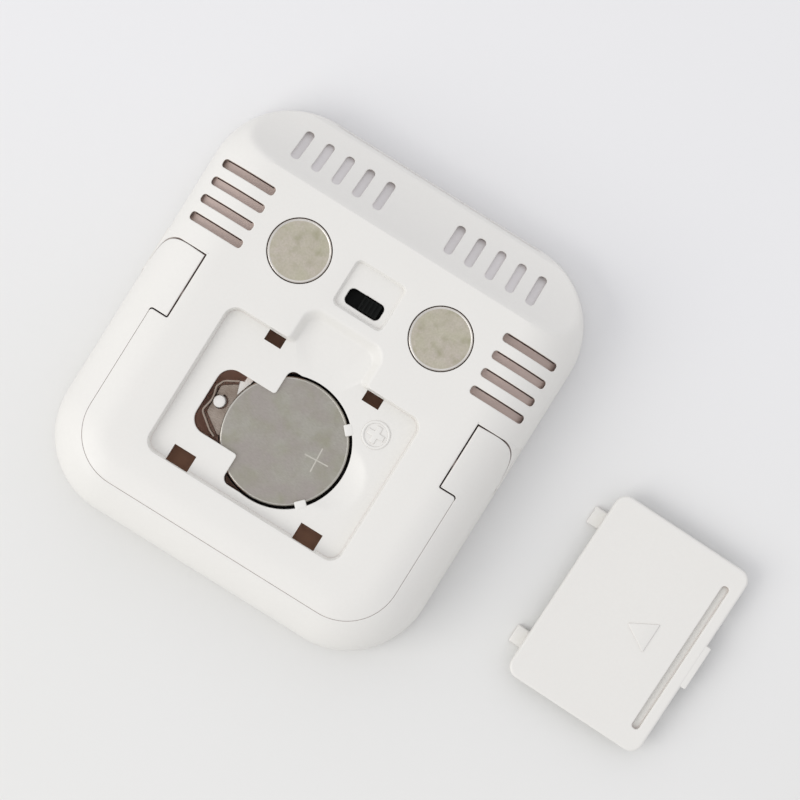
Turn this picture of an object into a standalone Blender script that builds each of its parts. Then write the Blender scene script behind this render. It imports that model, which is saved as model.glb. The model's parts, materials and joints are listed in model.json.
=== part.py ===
"""A pocket digital thermometer and hygrometer, lying on its face with its battery cover beside it.

Frame: metres, +Z up. The origin is the middle of the front face. +Z points out of the back, +Y
towards the top vents and +X to the right as the back is seen. Sizes below are in millimetres,
and every mesh is scaled by MM when it is made.
"""

import math

import bmesh
import bpy
from mathutils import Matrix

MM = 0.001
GAP = 0.3

# Body outline and side curve.
BODY_HALF_X = 32.9
BODY_HALF_Y = 35.85
BODY_CORNER = 13.9
DEPTH = 16.0
REAR_INSET = 0.4
CURVE_Z = 5.5
CURVE_RUN = 9.9
CURVE_RISE = DEPTH - CURVE_Z
WALL = 1.6

# Front housing, lens and display stack.
FRONT_TOP = 4.0
FRONT_WALL = 1.8
FRONT_EDGE = 1.4
FRONT_PLATE = 2.3
LENS_HALF_X = 28.0
LENS_HALF_Y = 30.0
LENS_CORNER = 7.5
LENS_THICK = 1.2
LENS_SEAT = 1.5
WINDOW_HALF_X = 23.0
WINDOW_HALF_Y = 25.9
LCD_HALF_X = 23.6
LCD_HALF_Y = 26.5
LCD_LOW = 2.6
LCD_HIGH = 4.8
BOARD_LOW = 6.6
BOARD_HIGH = 7.6
BOARD_HALF_X = 22.5
BOARD_BOTTOM = -28.0
BOARD_TOP = 29.0
SCREW_SPOTS = ((-19.5, 24.5), (19.5, 24.5), (-19.8, -24.5), (19.8, -24.5))
BOSS_RADIUS = 2.2

# Rear housing features.
REAR_LOW = FRONT_TOP + GAP
MAGNET_X = 12.7
MAGNET_Y = 15.3
MAGNET_RADIUS = 4.95
MAGNET_THICK = 1.9
POCKET_RADIUS = 5.1
SLOT_HALF_X = 3.1
SLOT_LOW_Y = 12.26
SLOT_HIGH_Y = 14.97
SLOT_MIDDLE_Y = (SLOT_LOW_Y + SLOT_HIGH_Y) / 2
SWITCH_RECESS_Z = 15.2
KNOB_X = 1.0
RECESS_HALF_X = 17.2
RECESS_LOW_Y = -22.45
RECESS_HIGH_Y = 3.0
RECESS_FLOOR = 14.3
RECESS_UNDER = 13.3
WELL_X = 0.73
WELL_Y = -10.67
WELL_RADIUS = 10.38
WELL_FLAT_LOW = 10.25
WELL_FLAT_HIGH = 9.94
WELL_FLOOR = 9.0
WELL_ROOF = 13.65
WELL_WALL = 1.1
NUB_X = -4.34
WINDOW_LEFT = -13.22
CONTACT_LOW_Y = -16.24
CONTACT_HIGH_Y = -5.28
THUMB_X = 9.4
THUMB_Y = -11.3
THUMB_RADIUS = 5.4
THUMB_DEPTH = 1.2
SIDE_VENT_Y = (20.8, 17.65, 14.5, 11.35)
SIDE_VENT_X = (20.6, 30.1)
SIDE_VENT_WIDTH = 1.46
TOP_VENT_X = (6.45, 10.17, 13.89, 17.6, 21.3)
TOP_VENT_Y = (27.0, 32.15)
TOP_VENT_WIDTH = 1.47
SCOOP_Y = 40.9
SCOOP_Z = 22.9
SCOOP_RADIUS = 17.4
HOOK_HOLE_X = 8.8
HOOK_HOLE_Y = (1.0, 2.8)
HOOK_HOLE_HALF = 1.475
FOOT_HOLE_X = 11.4
FOOT_HOLE_Y = (-22.65, -19.8)
FOOT_HOLE_HALF = 1.925
UPPER_POST_X = 30.5
UPPER_POST_Y = (14.0, 19.0)
UPPER_BARB_Z = 6.2
LOWER_POST_X = 25.5
LOWER_POST_Y = (-18.0, -13.0)
LOWER_BARB_Z = 7.2

# Stand, which is the lower rim of the back.
HINGE_Y = 0.3
HINGE_Z = 14.2
STAND_HALF_X = 27.8
STAND_LOW_Y = -30.5
STAND_CORNER = 9.0
STAND_LOW_Z = CURVE_Z + GAP
TAB_HALF_X = 24.7
TAB_REACH = 6.9
TAB_SHOULDER = 4.1
POCKET_TOP_Y = 7.3
POCKET_FLOOR = 6.9
ARM_END = 1.6
PIN_RADIUS = 1.0
PIN_LENGTH = 2.0

# Coin cell.
CELL_X = 0.63
CELL_Y = -10.65
CELL_RADIUS = 10.0
CELL_HIGH = 13.4
CELL_LOW = 10.2
CAN_WALL = 0.3

# Battery cover, in its own frame: its plate's middle, its outer face up, its hooks' feet at z 0.
COVER_HALF_X = 16.85
COVER_HALF_Y = 12.25
COVER_CORNER = 2.0
COVER_LOW = 2.3
COVER_HIGH = 3.7
GROOVE_LOW = 2.7
GROOVE_INSET = 2.55
COVER_REST = (61.5, -6.7, 0.0)
COVER_TURN = math.radians(-91.4)

PLASTIC_WHITE = ("housing_white", (0.80, 0.79, 0.76), 0.42, 0.0)
PLASTIC_BLACK = ("switch_black", (0.012, 0.012, 0.012), 0.5, 0.0)
LENS_CLEAR = ("lens_clear", (0.85, 0.87, 0.88), 0.06, 0.0)
LCD_GREY = ("lcd_grey", (0.42, 0.46, 0.42), 0.25, 0.0)
BACKING_WHITE = ("backing_white", (0.75, 0.75, 0.73), 0.5, 0.0)
ZEBRA_RUBBER = ("zebra_rubber", (0.03, 0.03, 0.03), 0.7, 0.0)
BOARD_BROWN = ("board_brown", (0.30, 0.13, 0.07), 0.45, 0.0)
CHIP_BLACK = ("chip_black", (0.015, 0.015, 0.017), 0.5, 0.0)
CERAMIC_TAN = ("ceramic_tan", (0.42, 0.30, 0.18), 0.5, 0.0)
NICKEL = ("magnet_nickel", (0.56, 0.54, 0.48), 0.32, 1.0)
CELL_STEEL = ("cell_steel", (0.42, 0.40, 0.37), 0.35, 1.0)
CONTACT_STEEL = ("contact_steel", (0.62, 0.60, 0.56), 0.28, 1.0)
SCREW_STEEL = ("screw_steel", (0.5, 0.5, 0.5), 0.35, 1.0)
SEAL_BLACK = ("seal_black", (0.05, 0.05, 0.05), 0.6, 0.0)


def clear_scene():
    for item in list(bpy.data.objects):
        bpy.data.objects.remove(item, do_unlink=True)


def material(finish):
    """The Principled material of a finish, made once and shared."""
    name, colour, roughness, metallic = finish
    found = bpy.data.materials.get(name)
    if found:
        return found
    made = bpy.data.materials.new(name)
    made.use_nodes = True
    shader = made.node_tree.nodes["Principled BSDF"]
    shader.inputs["Base Color"].default_value = (*colour, 1.0)
    shader.inputs["Roughness"].default_value = roughness
    shader.inputs["Metallic"].default_value = metallic
    return made


def add_object(name, mesh, finish=None):
    """Links a mesh as a part, or as a hidden wire cutter when it has no finish."""
    part = bpy.data.objects.new(name, mesh)
    bpy.context.scene.collection.objects.link(part)
    if finish:
        mesh.materials.append(material(finish))
    else:
        part.hide_render = True
        part.display_type = "WIRE"
    return part


def loft(name, rings, finish=None):
    """A closed solid through rings of (x, y, z) points in millimetres, all with the same count."""
    shape = bmesh.new()
    rows = [[shape.verts.new([value * MM for value in point]) for point in ring] for ring in rings]
    count = len(rows[0])
    for low, high in zip(rows, rows[1:]):
        for i in range(count):
            j = (i + 1) % count
            shape.faces.new((low[i], low[j], high[j], high[i]))
    shape.faces.new(rows[0][::-1])
    shape.faces.new(rows[-1])
    bmesh.ops.recalc_face_normals(shape, faces=shape.faces)
    mesh = bpy.data.meshes.new(name)
    shape.to_mesh(mesh)
    shape.free()
    mesh.shade_smooth()
    mesh.set_sharp_from_angle(angle=math.radians(30))
    return add_object(name, mesh, finish)


def prism(name, outline, low, high, finish=None):
    """An upright solid of an (x, y) outline between two heights."""
    return loft(name, [[(x, y, z) for x, y in outline] for z in (low, high)], finish)


def side_prism(name, outline, low_x, high_x, finish=None):
    """A solid of a (y, z) outline between two x values."""
    return loft(name, [[(x, y, z) for y, z in outline] for x in (low_x, high_x)], finish)


def box(name, x, y, z, finish=None):
    """A block between pairs of x, y and z."""
    outline = [(x[0], y[0]), (x[1], y[0]), (x[1], y[1]), (x[0], y[1])]
    return prism(name, outline, z[0], z[1], finish)


def arc(centre, radius, start, end, steps):
    """Points on a circle from one angle to another, in degrees."""
    turns = [math.radians(start + (end - start) * i / steps) for i in range(steps + 1)]
    return [(centre[0] + radius * math.cos(a), centre[1] + radius * math.sin(a)) for a in turns]


def rounded(x, y, radius, steps=6):
    """The outline of a rounded rectangle between pairs of x and y."""
    corners = (
        ((x[1] - radius, y[0] + radius), -90),
        ((x[1] - radius, y[1] - radius), 0),
        ((x[0] + radius, y[1] - radius), 90),
        ((x[0] + radius, y[0] + radius), 180),
    )
    points = []
    for centre, start in corners:
        points += arc(centre, radius, start, start + 90, steps)
    return points


def around(middle, half):
    return middle - half, middle + half


def circle(x, y, radius, steps):
    return arc((x, y), radius, 0, 360 - 360 / steps, steps - 1)


def cylinder(name, x, y, z, radius, steps=32, finish=None):
    return prism(name, circle(x, y, radius, steps), z[0], z[1], finish)


def combine(part, operation, *tools):
    """Adds an exact Boolean with each tool to a part."""
    for tool in tools:
        step = part.modifiers.new(tool.name, "BOOLEAN")
        step.operation = operation
        step.solver = "EXACT"
        step.object = tool
    return part


def cut(part, *tools):
    return combine(part, "DIFFERENCE", *tools)


def add(part, *tools):
    return combine(part, "UNION", *tools)


def place_origin(part, x, y, z):
    """Moves a part's origin without moving its shape."""
    part.data.transform(Matrix.Translation((-x * MM, -y * MM, -z * MM)))
    part.location = (x * MM, y * MM, z * MM)
    return part


def body_outline(inset, corner_steps=8):
    half_x = BODY_HALF_X - inset
    half_y = BODY_HALF_Y - inset
    return rounded((-half_x, half_x), (-half_y, half_y), BODY_CORNER - inset, corner_steps)


def rear_form(name, wall, low, finish=None):
    """The back's outer form, or the same form drawn in by a wall thickness."""
    rings = [(REAR_INSET + wall, low), (REAR_INSET + wall, CURVE_Z)]
    for turn in (14, 28, 42, 56, 70, 80, 90):
        angle = math.radians(turn)
        inset = REAR_INSET + CURVE_RUN - (CURVE_RUN - wall) * math.cos(angle)
        rings.append((inset, CURVE_Z + (CURVE_RISE - wall) * math.sin(angle)))
    return loft(name, [[(x, y, z) for x, y in body_outline(inset)] for inset, z in rings], finish)


def scoop(name, grow):
    """The hollow along the top edge: a roller lying along X, grown inwards by a wall."""
    ring = circle(SCOOP_Y, SCOOP_Z, SCOOP_RADIUS + grow, 64)
    return side_prism(name, ring, -40.0, 40.0)


def stand_space(name, grow):
    """The room that the stand takes out of the back, grown inwards by a wall.

    Below the hinge its end follows the swing of the hinge tabs."""
    gap = GAP + grow
    low = CURVE_Z - grow
    space = box(name, (-45.0, 45.0), (-45.0, POCKET_TOP_Y + grow), (low, 20.0))
    core_x = STAND_HALF_X - gap
    core = rounded((-core_x, core_x), (STAND_LOW_Y + gap, 30.0), STAND_CORNER - gap)
    cut(space, prism(name + "_core", core, 0.0, 25.0))
    for side in (-1, 1):
        x = sorted((side * (TAB_HALF_X - gap), side * (STAND_HALF_X + 1.0)))
        y = (HINGE_Y - TAB_SHOULDER - gap, POCKET_TOP_Y + grow)
        add(space, box(f"{name}_tab_{side}", x, y, (POCKET_FLOOR - grow, 20.0)))
    swing = arc((HINGE_Y, HINGE_Z), TAB_REACH + gap, 0.0, -90.0, 12)
    heel_y = HINGE_Y - ARM_END
    beyond = swing + [(heel_y, low - GAP), (heel_y, -9.0), (50.0, -9.0), (50.0, HINGE_Z)]
    return cut(space, side_prism(name + "_beyond", beyond, -50.0, 50.0))


def well_shapes(name, grow):
    """The cell's round well and the contact's window beside it, as solids to take away or keep."""
    low = WELL_FLOOR - grow
    window_x = (WINDOW_LEFT - grow, 0.0)
    window_y = (CONTACT_LOW_Y - grow, CONTACT_HIGH_Y + grow)
    window = rounded(window_x, window_y, 2.5 + grow, 4)
    return (
        cylinder(name + "_round", WELL_X, WELL_Y, (low, WELL_ROOF), WELL_RADIUS + grow, 48),
        prism(name + "_window", window, low, 20.0),
    )


def rear_cavity():
    """The hollow inside the back, less every wall and boss that stands in it."""
    cavity = rear_form("cavity", WALL, REAR_LOW - 1.0)
    cut(cavity, scoop("scoop_wall", WALL), stand_space("stand_wall", WALL - GAP))
    plate_x = (-RECESS_HALF_X - 1.4, RECESS_HALF_X + 1.4)
    plate_y = (RECESS_LOW_Y - 1.4, RECESS_HIGH_Y + 1.4)
    cut(cavity, box("recess_plate", plate_x, plate_y, (RECESS_UNDER, 20.0)))
    cut(cavity, box("notch_wall", (-8.3, 8.3), (0.0, 10.7), (RECESS_UNDER, 20.0)))
    cut(cavity, box("switch_wall", (-6.0, 6.0), (9.9, 20.4), (13.8, 20.0)))
    cut(cavity, cylinder("thumb_wall", THUMB_X, THUMB_Y, (12.0, 20.0), THUMB_RADIUS + 0.9))
    cut(cavity, *well_shapes("well_wall", WELL_WALL))
    for side in (-1, 1):
        cut(cavity, cylinder(f"magnet_boss_{side}", side * MAGNET_X, MAGNET_Y, (12.7, 20.0), 6.4))
    for i, (x, y) in enumerate(SCREW_SPOTS):
        cut(cavity, cylinder(f"boss_{i}", x, y, (BOARD_HIGH + GAP, 20.0), BOSS_RADIUS, 20))
    return cavity


def cell_opening():
    """The opening over the cell: its circle cut off at the left, where two nubs hold the cell."""
    opening = cylinder("cell_opening", WELL_X, WELL_Y, (WELL_ROOF - 0.2, 20.0), WELL_RADIUS, 48)
    cut(opening, box("nub_side", (-20.0, NUB_X + 0.4), (-30.0, 10.0), (0.0, 30.0)))
    corner = rounded((NUB_X, 2.0), (WELL_Y - WELL_FLAT_LOW, WELL_Y + WELL_FLAT_HIGH), 1.2, 3)
    return opening, prism("cell_corner", corner, WELL_ROOF - 0.1, 20.0)


def thumb_hollow():
    """A shallow dish beside the cell, for a thumbnail."""
    radius = (THUMB_RADIUS * THUMB_RADIUS + THUMB_DEPTH * THUMB_DEPTH) / (2 * THUMB_DEPTH)
    centre_z = RECESS_FLOOR - THUMB_DEPTH + radius
    rings = []
    for turn in (1.0, 8.0, 16.0, 25.0, 32.0):
        angle = math.radians(turn)
        z = centre_z - radius * math.cos(angle)
        ring = circle(THUMB_X, THUMB_Y, radius * math.sin(angle), 32)
        rings.append([(x, y, z) for x, y in ring])
    return loft("thumb_hollow", rings)


def vents():
    cutters = []
    for side in (-1, 1):
        x = sorted(side * value for value in SIDE_VENT_X)
        for i, y in enumerate(SIDE_VENT_Y):
            half = SIDE_VENT_WIDTH / 2
            outline = rounded(x, (y - half, y + half), 0.6, 3)
            cutters.append(prism(f"side_vent_{side}_{i}", outline, 6.4, 20.0))
        for i, centre in enumerate(TOP_VENT_X):
            half = TOP_VENT_WIDTH / 2
            outline = rounded((side * centre - half, side * centre + half), TOP_VENT_Y, 0.6, 3)
            cutters.append(prism(f"top_vent_{side}_{i}", outline, 6.4, 20.0))
    return cutters


def notch_cutter():
    """The finger notch above the recess, with sloping walls."""
    top = rounded((-7.0, 7.0), (-2.0, 9.4), 2.5, 5)
    floor = rounded((-5.8, 5.8), (-2.0, 7.9), 2.0, 5)
    rings = [[(x, y, RECESS_FLOOR) for x, y in floor], [(x, y, DEPTH + 0.01) for x, y in top]]
    return loft("notch", rings)


def rear_housing():
    housing = rear_form("rear_housing", 0.0, REAR_LOW, PLASTIC_WHITE)
    cut(housing, rear_cavity(), scoop("scoop", 0.0), stand_space("stand_room", 0.0))
    recess = rounded((-RECESS_HALF_X, RECESS_HALF_X), (RECESS_LOW_Y, RECESS_HIGH_Y), 2.0, 4)
    cut(housing, prism("recess", recess, RECESS_FLOOR, 20.0), notch_cutter())
    cut(housing, *cell_opening(), *well_shapes("well", 0.0), thumb_hollow())
    switch = rounded((-4.4, 4.4), (11.2, 19.1), 0.8, 3)
    slot = rounded((-SLOT_HALF_X, SLOT_HALF_X), (SLOT_LOW_Y, SLOT_HIGH_Y), 0.65, 3)
    cut(housing, prism("switch_recess", switch, SWITCH_RECESS_Z, 20.0))
    cut(housing, prism("switch_slot", slot, 13.0, 20.0))
    cut(housing, *vents())
    pocket_z = (DEPTH - MAGNET_THICK - 0.2, 20.0)
    for side in (-1, 1):
        cut(housing, cylinder(f"pocket_{side}", side * MAGNET_X, MAGNET_Y, pocket_z, POCKET_RADIUS, 48))
        x = around(side * HOOK_HOLE_X, HOOK_HOLE_HALF)
        cut(housing, box(f"hook_hole_{side}", x, HOOK_HOLE_Y, (12.0, 20.0)))
        x = around(side * FOOT_HOLE_X, FOOT_HOLE_HALF)
        cut(housing, box(f"foot_hole_{side}", x, FOOT_HOLE_Y, (12.0, 20.0)))
        bore = circle(HINGE_Y, HINGE_Z, PIN_RADIUS + 0.12, 20)
        x = sorted((side * (TAB_HALF_X - PIN_LENGTH - 0.3), side * TAB_HALF_X))
        cut(housing, side_prism(f"pin_hole_{side}", bore, *x))
        cut(housing, catch(f"upper_catch_{side}", side, UPPER_POST_X, UPPER_POST_Y, UPPER_BARB_Z))
        cut(housing, catch(f"lower_catch_{side}", side, LOWER_POST_X, LOWER_POST_Y, LOWER_BARB_Z))
    for i, (x, y) in enumerate(SCREW_SPOTS):
        cut(housing, cylinder(f"bore_{i}", x, y, (BOARD_LOW, 12.5), 0.95, 16))
    leg_slot = box("leg_slot", (-12.4, -10.9), (-12.3, -9.3), (7.0, 10.0))
    return cut(housing, leg_slot, box("minus_slot", (4.6, 7.6), (-11.6, -9.6), (7.0, 10.0)))


def catch(name, side, x, y, barb_z):
    """The pocket in the back housing that a snap post's barb springs into."""
    across = sorted((side * (x - 0.5), side * (x + 1.1)))
    return box(name, across, (y[0] - GAP, y[1] + GAP), (barb_z - 0.4, barb_z + 1.1))


def snap_post(name, side, x, y, barb_z):
    """A flexible post with a barb, which holds the back housing to the front."""
    post = box(name, sorted((side * (x - 1.0), side * x)), y, (FRONT_PLATE - 0.4, barb_z + 0.9))
    barb = box(name + "_barb", sorted((side * (x - 0.5), side * (x + 0.8))), y, (barb_z, barb_z + 0.8))
    return add(post, barb)


def front_housing():
    levels = ((FRONT_EDGE, 0.0), (0.42, 0.42), (0.0, FRONT_EDGE), (0.0, FRONT_TOP))
    rings = [[(x, y, z) for x, y in body_outline(inset)] for inset, z in levels]
    housing = loft("front_housing", rings, PLASTIC_WHITE)
    inside = body_outline(FRONT_WALL)
    window = rounded((-WINDOW_HALF_X, WINDOW_HALF_X), (-WINDOW_HALF_Y, WINDOW_HALF_Y), 4.0)
    seat_x = LENS_HALF_X + GAP
    seat_y = LENS_HALF_Y + GAP
    seat = rounded((-seat_x, seat_x), (-seat_y, seat_y), LENS_CORNER + GAP)
    cut(housing, prism("front_inside", inside, FRONT_PLATE, 10.0))
    cut(housing, prism("front_window", window, -1.0, 10.0), prism("lens_seat", seat, -1.0, LENS_SEAT))
    for side in (-1, 1):
        add(housing, snap_post(f"upper_post_{side}", side, UPPER_POST_X, UPPER_POST_Y, UPPER_BARB_Z))
        add(housing, snap_post(f"lower_post_{side}", side, LOWER_POST_X, LOWER_POST_Y, LOWER_BARB_Z))
    return housing


def display_parts():
    lens = rounded((-LENS_HALF_X, LENS_HALF_X), (-LENS_HALF_Y, LENS_HALF_Y), LENS_CORNER)
    prism("display_lens", lens, 0.0, LENS_THICK, LENS_CLEAR)
    box("lcd_panel", (-LCD_HALF_X, LCD_HALF_X), (-LCD_HALF_Y, LCD_HALF_Y), (LCD_LOW, LCD_HIGH), LCD_GREY)
    box("lcd_backing", (-17.0, 17.0), (-24.0, 24.0), (4.9, 5.4), BACKING_WHITE)
    for name, y in (("zebra_strip_top", 25.4), ("zebra_strip_bottom", -25.4)):
        box(name, (-16.5, 16.5), (y - 0.8, y + 0.8), (LCD_HIGH + 0.15, BOARD_LOW - 0.15), ZEBRA_RUBBER)


def board_parts():
    outline = rounded((-BOARD_HALF_X, BOARD_HALF_X), (BOARD_BOTTOM, BOARD_TOP), 4.0, 4)
    board = prism("circuit_board", outline, BOARD_LOW, BOARD_HIGH, BOARD_BROWN)
    for i, (x, y) in enumerate(SCREW_SPOTS):
        cut(board, cylinder(f"board_hole_{i}", x, y, (0.0, 20.0), 1.2, 16))
        shank = circle(x, y, 0.75, 16)
        head = circle(x, y, 1.8, 16)
        profile = ((head, 5.5), (head, BOARD_LOW - 0.1), (shank, BOARD_LOW - 0.05), (shank, 12.0))
        rings = [[(px, py, z) for px, py in ring] for ring, z in profile]
        screw = loft(f"board_screw_{i + 1}", rings, SCREW_STEEL)
        slot = box(f"driver_slot_{i}", (x - 1.2, x + 1.2), (y - 0.25, y + 0.25), (5.0, 5.9))
        cut(screw, slot)
    seat = BOARD_HIGH + 0.02
    box("controller_chip", (-14.5, -7.5), (19.5, 26.5), (seat, seat + 1.0), CHIP_BLACK)
    box("humidity_sensor", (8.5, 11.0), (26.2, 28.7), (seat, seat + 0.8), CHIP_BLACK)
    box("crystal", (-4.0, 2.0), (22.5, 24.3), (seat, seat + 1.4), CONTACT_STEEL)
    box("capacitor_1", (6.0, 8.0), (21.5, 22.7), (seat, seat + 0.9), CERAMIC_TAN)
    box("capacitor_2", (6.0, 8.0), (24.0, 25.2), (seat, seat + 0.9), CERAMIC_TAN)


def contacts():
    """The side contact's plate, bowed blade and leg, and the sprung finger under the cell."""
    plus = box("positive_contact", (-12.95, -9.75), (-13.4, -8.1), (9.3, 9.55), CONTACT_STEEL)
    bow = arc((-5.9, -10.76), 6.9, 150.0, 210.0, 8)
    back = arc((-5.9, -10.76), 7.15, 210.0, 150.0, 8)
    add(plus, prism("contact_blade", bow + back, 9.35, 12.9))
    add(plus, box("contact_leg", (-12.0, -11.2), (-12.0, -9.6), (BOARD_HIGH + 0.02, 9.4)))
    minus = box("negative_contact", (5.0, 7.2), (-11.4, -9.8), (BOARD_HIGH + 0.02, 9.45), CONTACT_STEEL)
    finger = [(5.0, 9.2), (7.2, 9.2), (7.2, 9.45), (5.2, 9.45), (-0.6, 10.05), (-2.0, 9.7)]
    finger += [(-2.0, 9.45), (-0.6, 9.8)]
    rings = [[(x, y, z) for x, z in finger] for y in (-9.8, -11.4)]
    add(minus, loft("minus_finger", rings))


def switch_parts():
    low = BOARD_HIGH + 0.02
    shell = box("switch_body", (-4.3, 4.3), around(SLOT_MIDDLE_Y, 1.8), (low, 11.4), CONTACT_STEEL)
    cut(shell, box("switch_mouth", (-2.4, 2.4), around(SLOT_MIDDLE_Y, 0.9), (9.9, 20.0)))
    base_x = (KNOB_X - 4.1, KNOB_X + 5.1)
    knob = box("switch_knob", base_x, around(SLOT_MIDDLE_Y, 1.9), (12.6, 13.3), PLASTIC_BLACK)
    grip = rounded(around(KNOB_X, 1.5), (SLOT_LOW_Y + 0.2, SLOT_HIGH_Y - 0.2), 0.3, 2)
    add(knob, prism("knob_grip", grip, 13.0, 15.5))
    for i in range(4):
        groove_x = around(KNOB_X - 1.05 + 0.7 * i, 0.15)
        cut(knob, box(f"knob_groove_{i}", groove_x, (10.0, 17.0), (15.25, 16.0)))
    add(knob, box("knob_stem", around(KNOB_X, 0.7), around(SLOT_MIDDLE_Y, 0.6), (10.3, 12.8)))
    place_origin(knob, KNOB_X, SLOT_MIDDLE_Y, DEPTH)


def magnets():
    for name, side in (("magnet_left", -1), ("magnet_right", 1)):
        levels = ((-0.2, DEPTH - MAGNET_THICK), (0.0, DEPTH - MAGNET_THICK + 0.2), (0.0, DEPTH - 0.15))
        rings = []
        for grow, z in levels + ((-0.15, DEPTH),):
            ring = circle(side * MAGNET_X, MAGNET_Y, MAGNET_RADIUS + grow, 40)
            rings.append([(x, y, z) for x, y in ring])
        loft(name, rings, NICKEL)


def cell():
    """The coin cell, whose parts tilt together about the edge of the two nubs."""
    pivot = bpy.data.objects.new("cell_pivot", None)
    bpy.context.scene.collection.objects.link(pivot)
    pivot.location = (NUB_X * MM, CELL_Y * MM, WELL_ROOF * MM)
    levels = ((0.0, CELL_LOW + 0.3), (0.0, CELL_HIGH - 0.25), (-0.25, CELL_HIGH))
    rings = []
    for grow, z in levels:
        rings.append([(x, y, z) for x, y in circle(CELL_X, CELL_Y, CELL_RADIUS + grow, 48)])
    can = loft("battery_can", rings, CELL_STEEL)
    cut(can, cylinder("can_inside", CELL_X, CELL_Y, (9.0, CELL_HIGH - CAN_WALL), 9.7, 48))
    seal = cylinder("battery_seal", CELL_X, CELL_Y, (CELL_LOW + 0.2, 12.9), 9.6, 48, SEAL_BLACK)
    cut(seal, cylinder("seal_inside", CELL_X, CELL_Y, (9.0, 12.6), 9.1, 48))
    cap = cylinder("battery_cap", CELL_X, CELL_Y, (CELL_LOW, 12.5), 8.9, 48, CELL_STEEL)
    for part in (can, seal, cap):
        place_origin(part, NUB_X, CELL_Y, WELL_ROOF)
        part.parent = pivot
        part.location = (0.0, 0.0, 0.0)


def stand():
    """The fold-out stand: two arms with hinge tabs and pins, joined by a bar along the bottom."""
    turn = math.degrees(math.asin(5.0 / TAB_REACH))
    end = arc((HINGE_Y, HINGE_Z), TAB_REACH, -90.0, turn, 12)
    arm = [(-45.0, STAND_LOW_Z), (HINGE_Y - ARM_END, STAND_LOW_Z)] + end + [(-45.0, end[-1][1])]
    frame = side_prism("stand", arm, -40.0, 40.0, PLASTIC_WHITE)
    core = rounded((-STAND_HALF_X, STAND_HALF_X), (STAND_LOW_Y, 40.0), STAND_CORNER, 8)
    cut(frame, prism("stand_core", core, 0.0, 30.0))
    heel = arc((HINGE_Y, HINGE_Z), TAB_SHOULDER, 180.0, 270.0, 5)
    low_turn = -math.degrees(math.asin(TAB_SHOULDER / TAB_REACH))
    tab = [(HINGE_Y - TAB_SHOULDER, end[-1][1])] + heel
    tab += arc((HINGE_Y, HINGE_Z), TAB_REACH, low_turn, turn, 9)
    for side in (-1, 1):
        x = sorted((side * TAB_HALF_X, side * (STAND_HALF_X + 1.0)))
        add(frame, side_prism(f"hinge_tab_{side}", tab, *x))
    combine(frame, "INTERSECT", rear_form("stand_form", 0.0, STAND_LOW_Z - 1.0))
    for side in (-1, 1):
        pin = circle(HINGE_Y, HINGE_Z, PIN_RADIUS, 20)
        x = sorted((side * (TAB_HALF_X - PIN_LENGTH), side * (TAB_HALF_X + 0.5)))
        add(frame, side_prism(f"hinge_pin_{side}", pin, *x))
    place_origin(frame, 0.0, HINGE_Y, HINGE_Z)


def battery_cover():
    """The loose cover: a plate with a grip groove, a latch tab, two hooks, two feet and an arrow."""
    levels = ((0.0, COVER_LOW), (0.0, COVER_HIGH - 0.3), (0.3, COVER_HIGH))
    rings = []
    for inset, z in levels:
        x = (-COVER_HALF_X + inset, COVER_HALF_X - inset)
        y = (-COVER_HALF_Y + inset, COVER_HALF_Y - inset)
        rings.append([(px, py, z) for px, py in rounded(x, y, COVER_CORNER - inset, 4)])
    cover = loft("battery_cover", rings, PLASTIC_WHITE)
    groove_y = around(COVER_HALF_Y - GROOVE_INSET, 0.65)
    cut(cover, prism("grip_groove", rounded((-13.3, 13.3), groove_y, 0.6, 3), GROOVE_LOW, 10.0))
    edge = COVER_HALF_Y
    tab_z = (COVER_LOW + 0.2, COVER_HIGH - 0.05)
    add(cover, box("latch_tab", (-3.8, 3.8), (edge - 1.0, edge + 0.8), tab_z))
    top = COVER_LOW + 0.4
    foot = [(-1.9, 0.0), (1.4, 0.0), (1.4, top), (0.3, top), (0.3, 0.9), (-1.9, 0.9)]
    hook = [(-1.5, 0.0), (0.3, 0.0), (0.3, 0.5), (-0.5, 0.9), (-0.5, top), (-1.5, top)]
    for side in (-1, 1):
        outline = [(y - edge, z) for y, z in foot]
        add(cover, side_prism(f"foot_{side}", outline, *around(side * 11.2, 1.5)))
        outline = [(y + edge, z) for y, z in hook]
        add(cover, side_prism(f"hook_{side}", outline, *around(side * 8.8, 1.2)))
    arrow = [(-2.6, 4.2), (0.0, -0.3), (2.6, 4.2)]
    add(cover, prism("arrow", arrow, COVER_HIGH - 0.3, COVER_HIGH + 0.2))
    for step in cover.modifiers:
        step.object.parent = cover
    cover.location = [value * MM for value in COVER_REST]
    cover.rotation_euler = (0.0, 0.0, COVER_TURN)
    return cover


def main():
    clear_scene()
    front_housing()
    rear_housing()
    display_parts()
    board_parts()
    contacts()
    switch_parts()
    magnets()
    cell()
    stand()
    battery_cover()


main()
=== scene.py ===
import json
import math

import bmesh
import bpy
import numpy as np
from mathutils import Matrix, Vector
from mathutils.geometry import delaunay_2d_cdt


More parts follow.
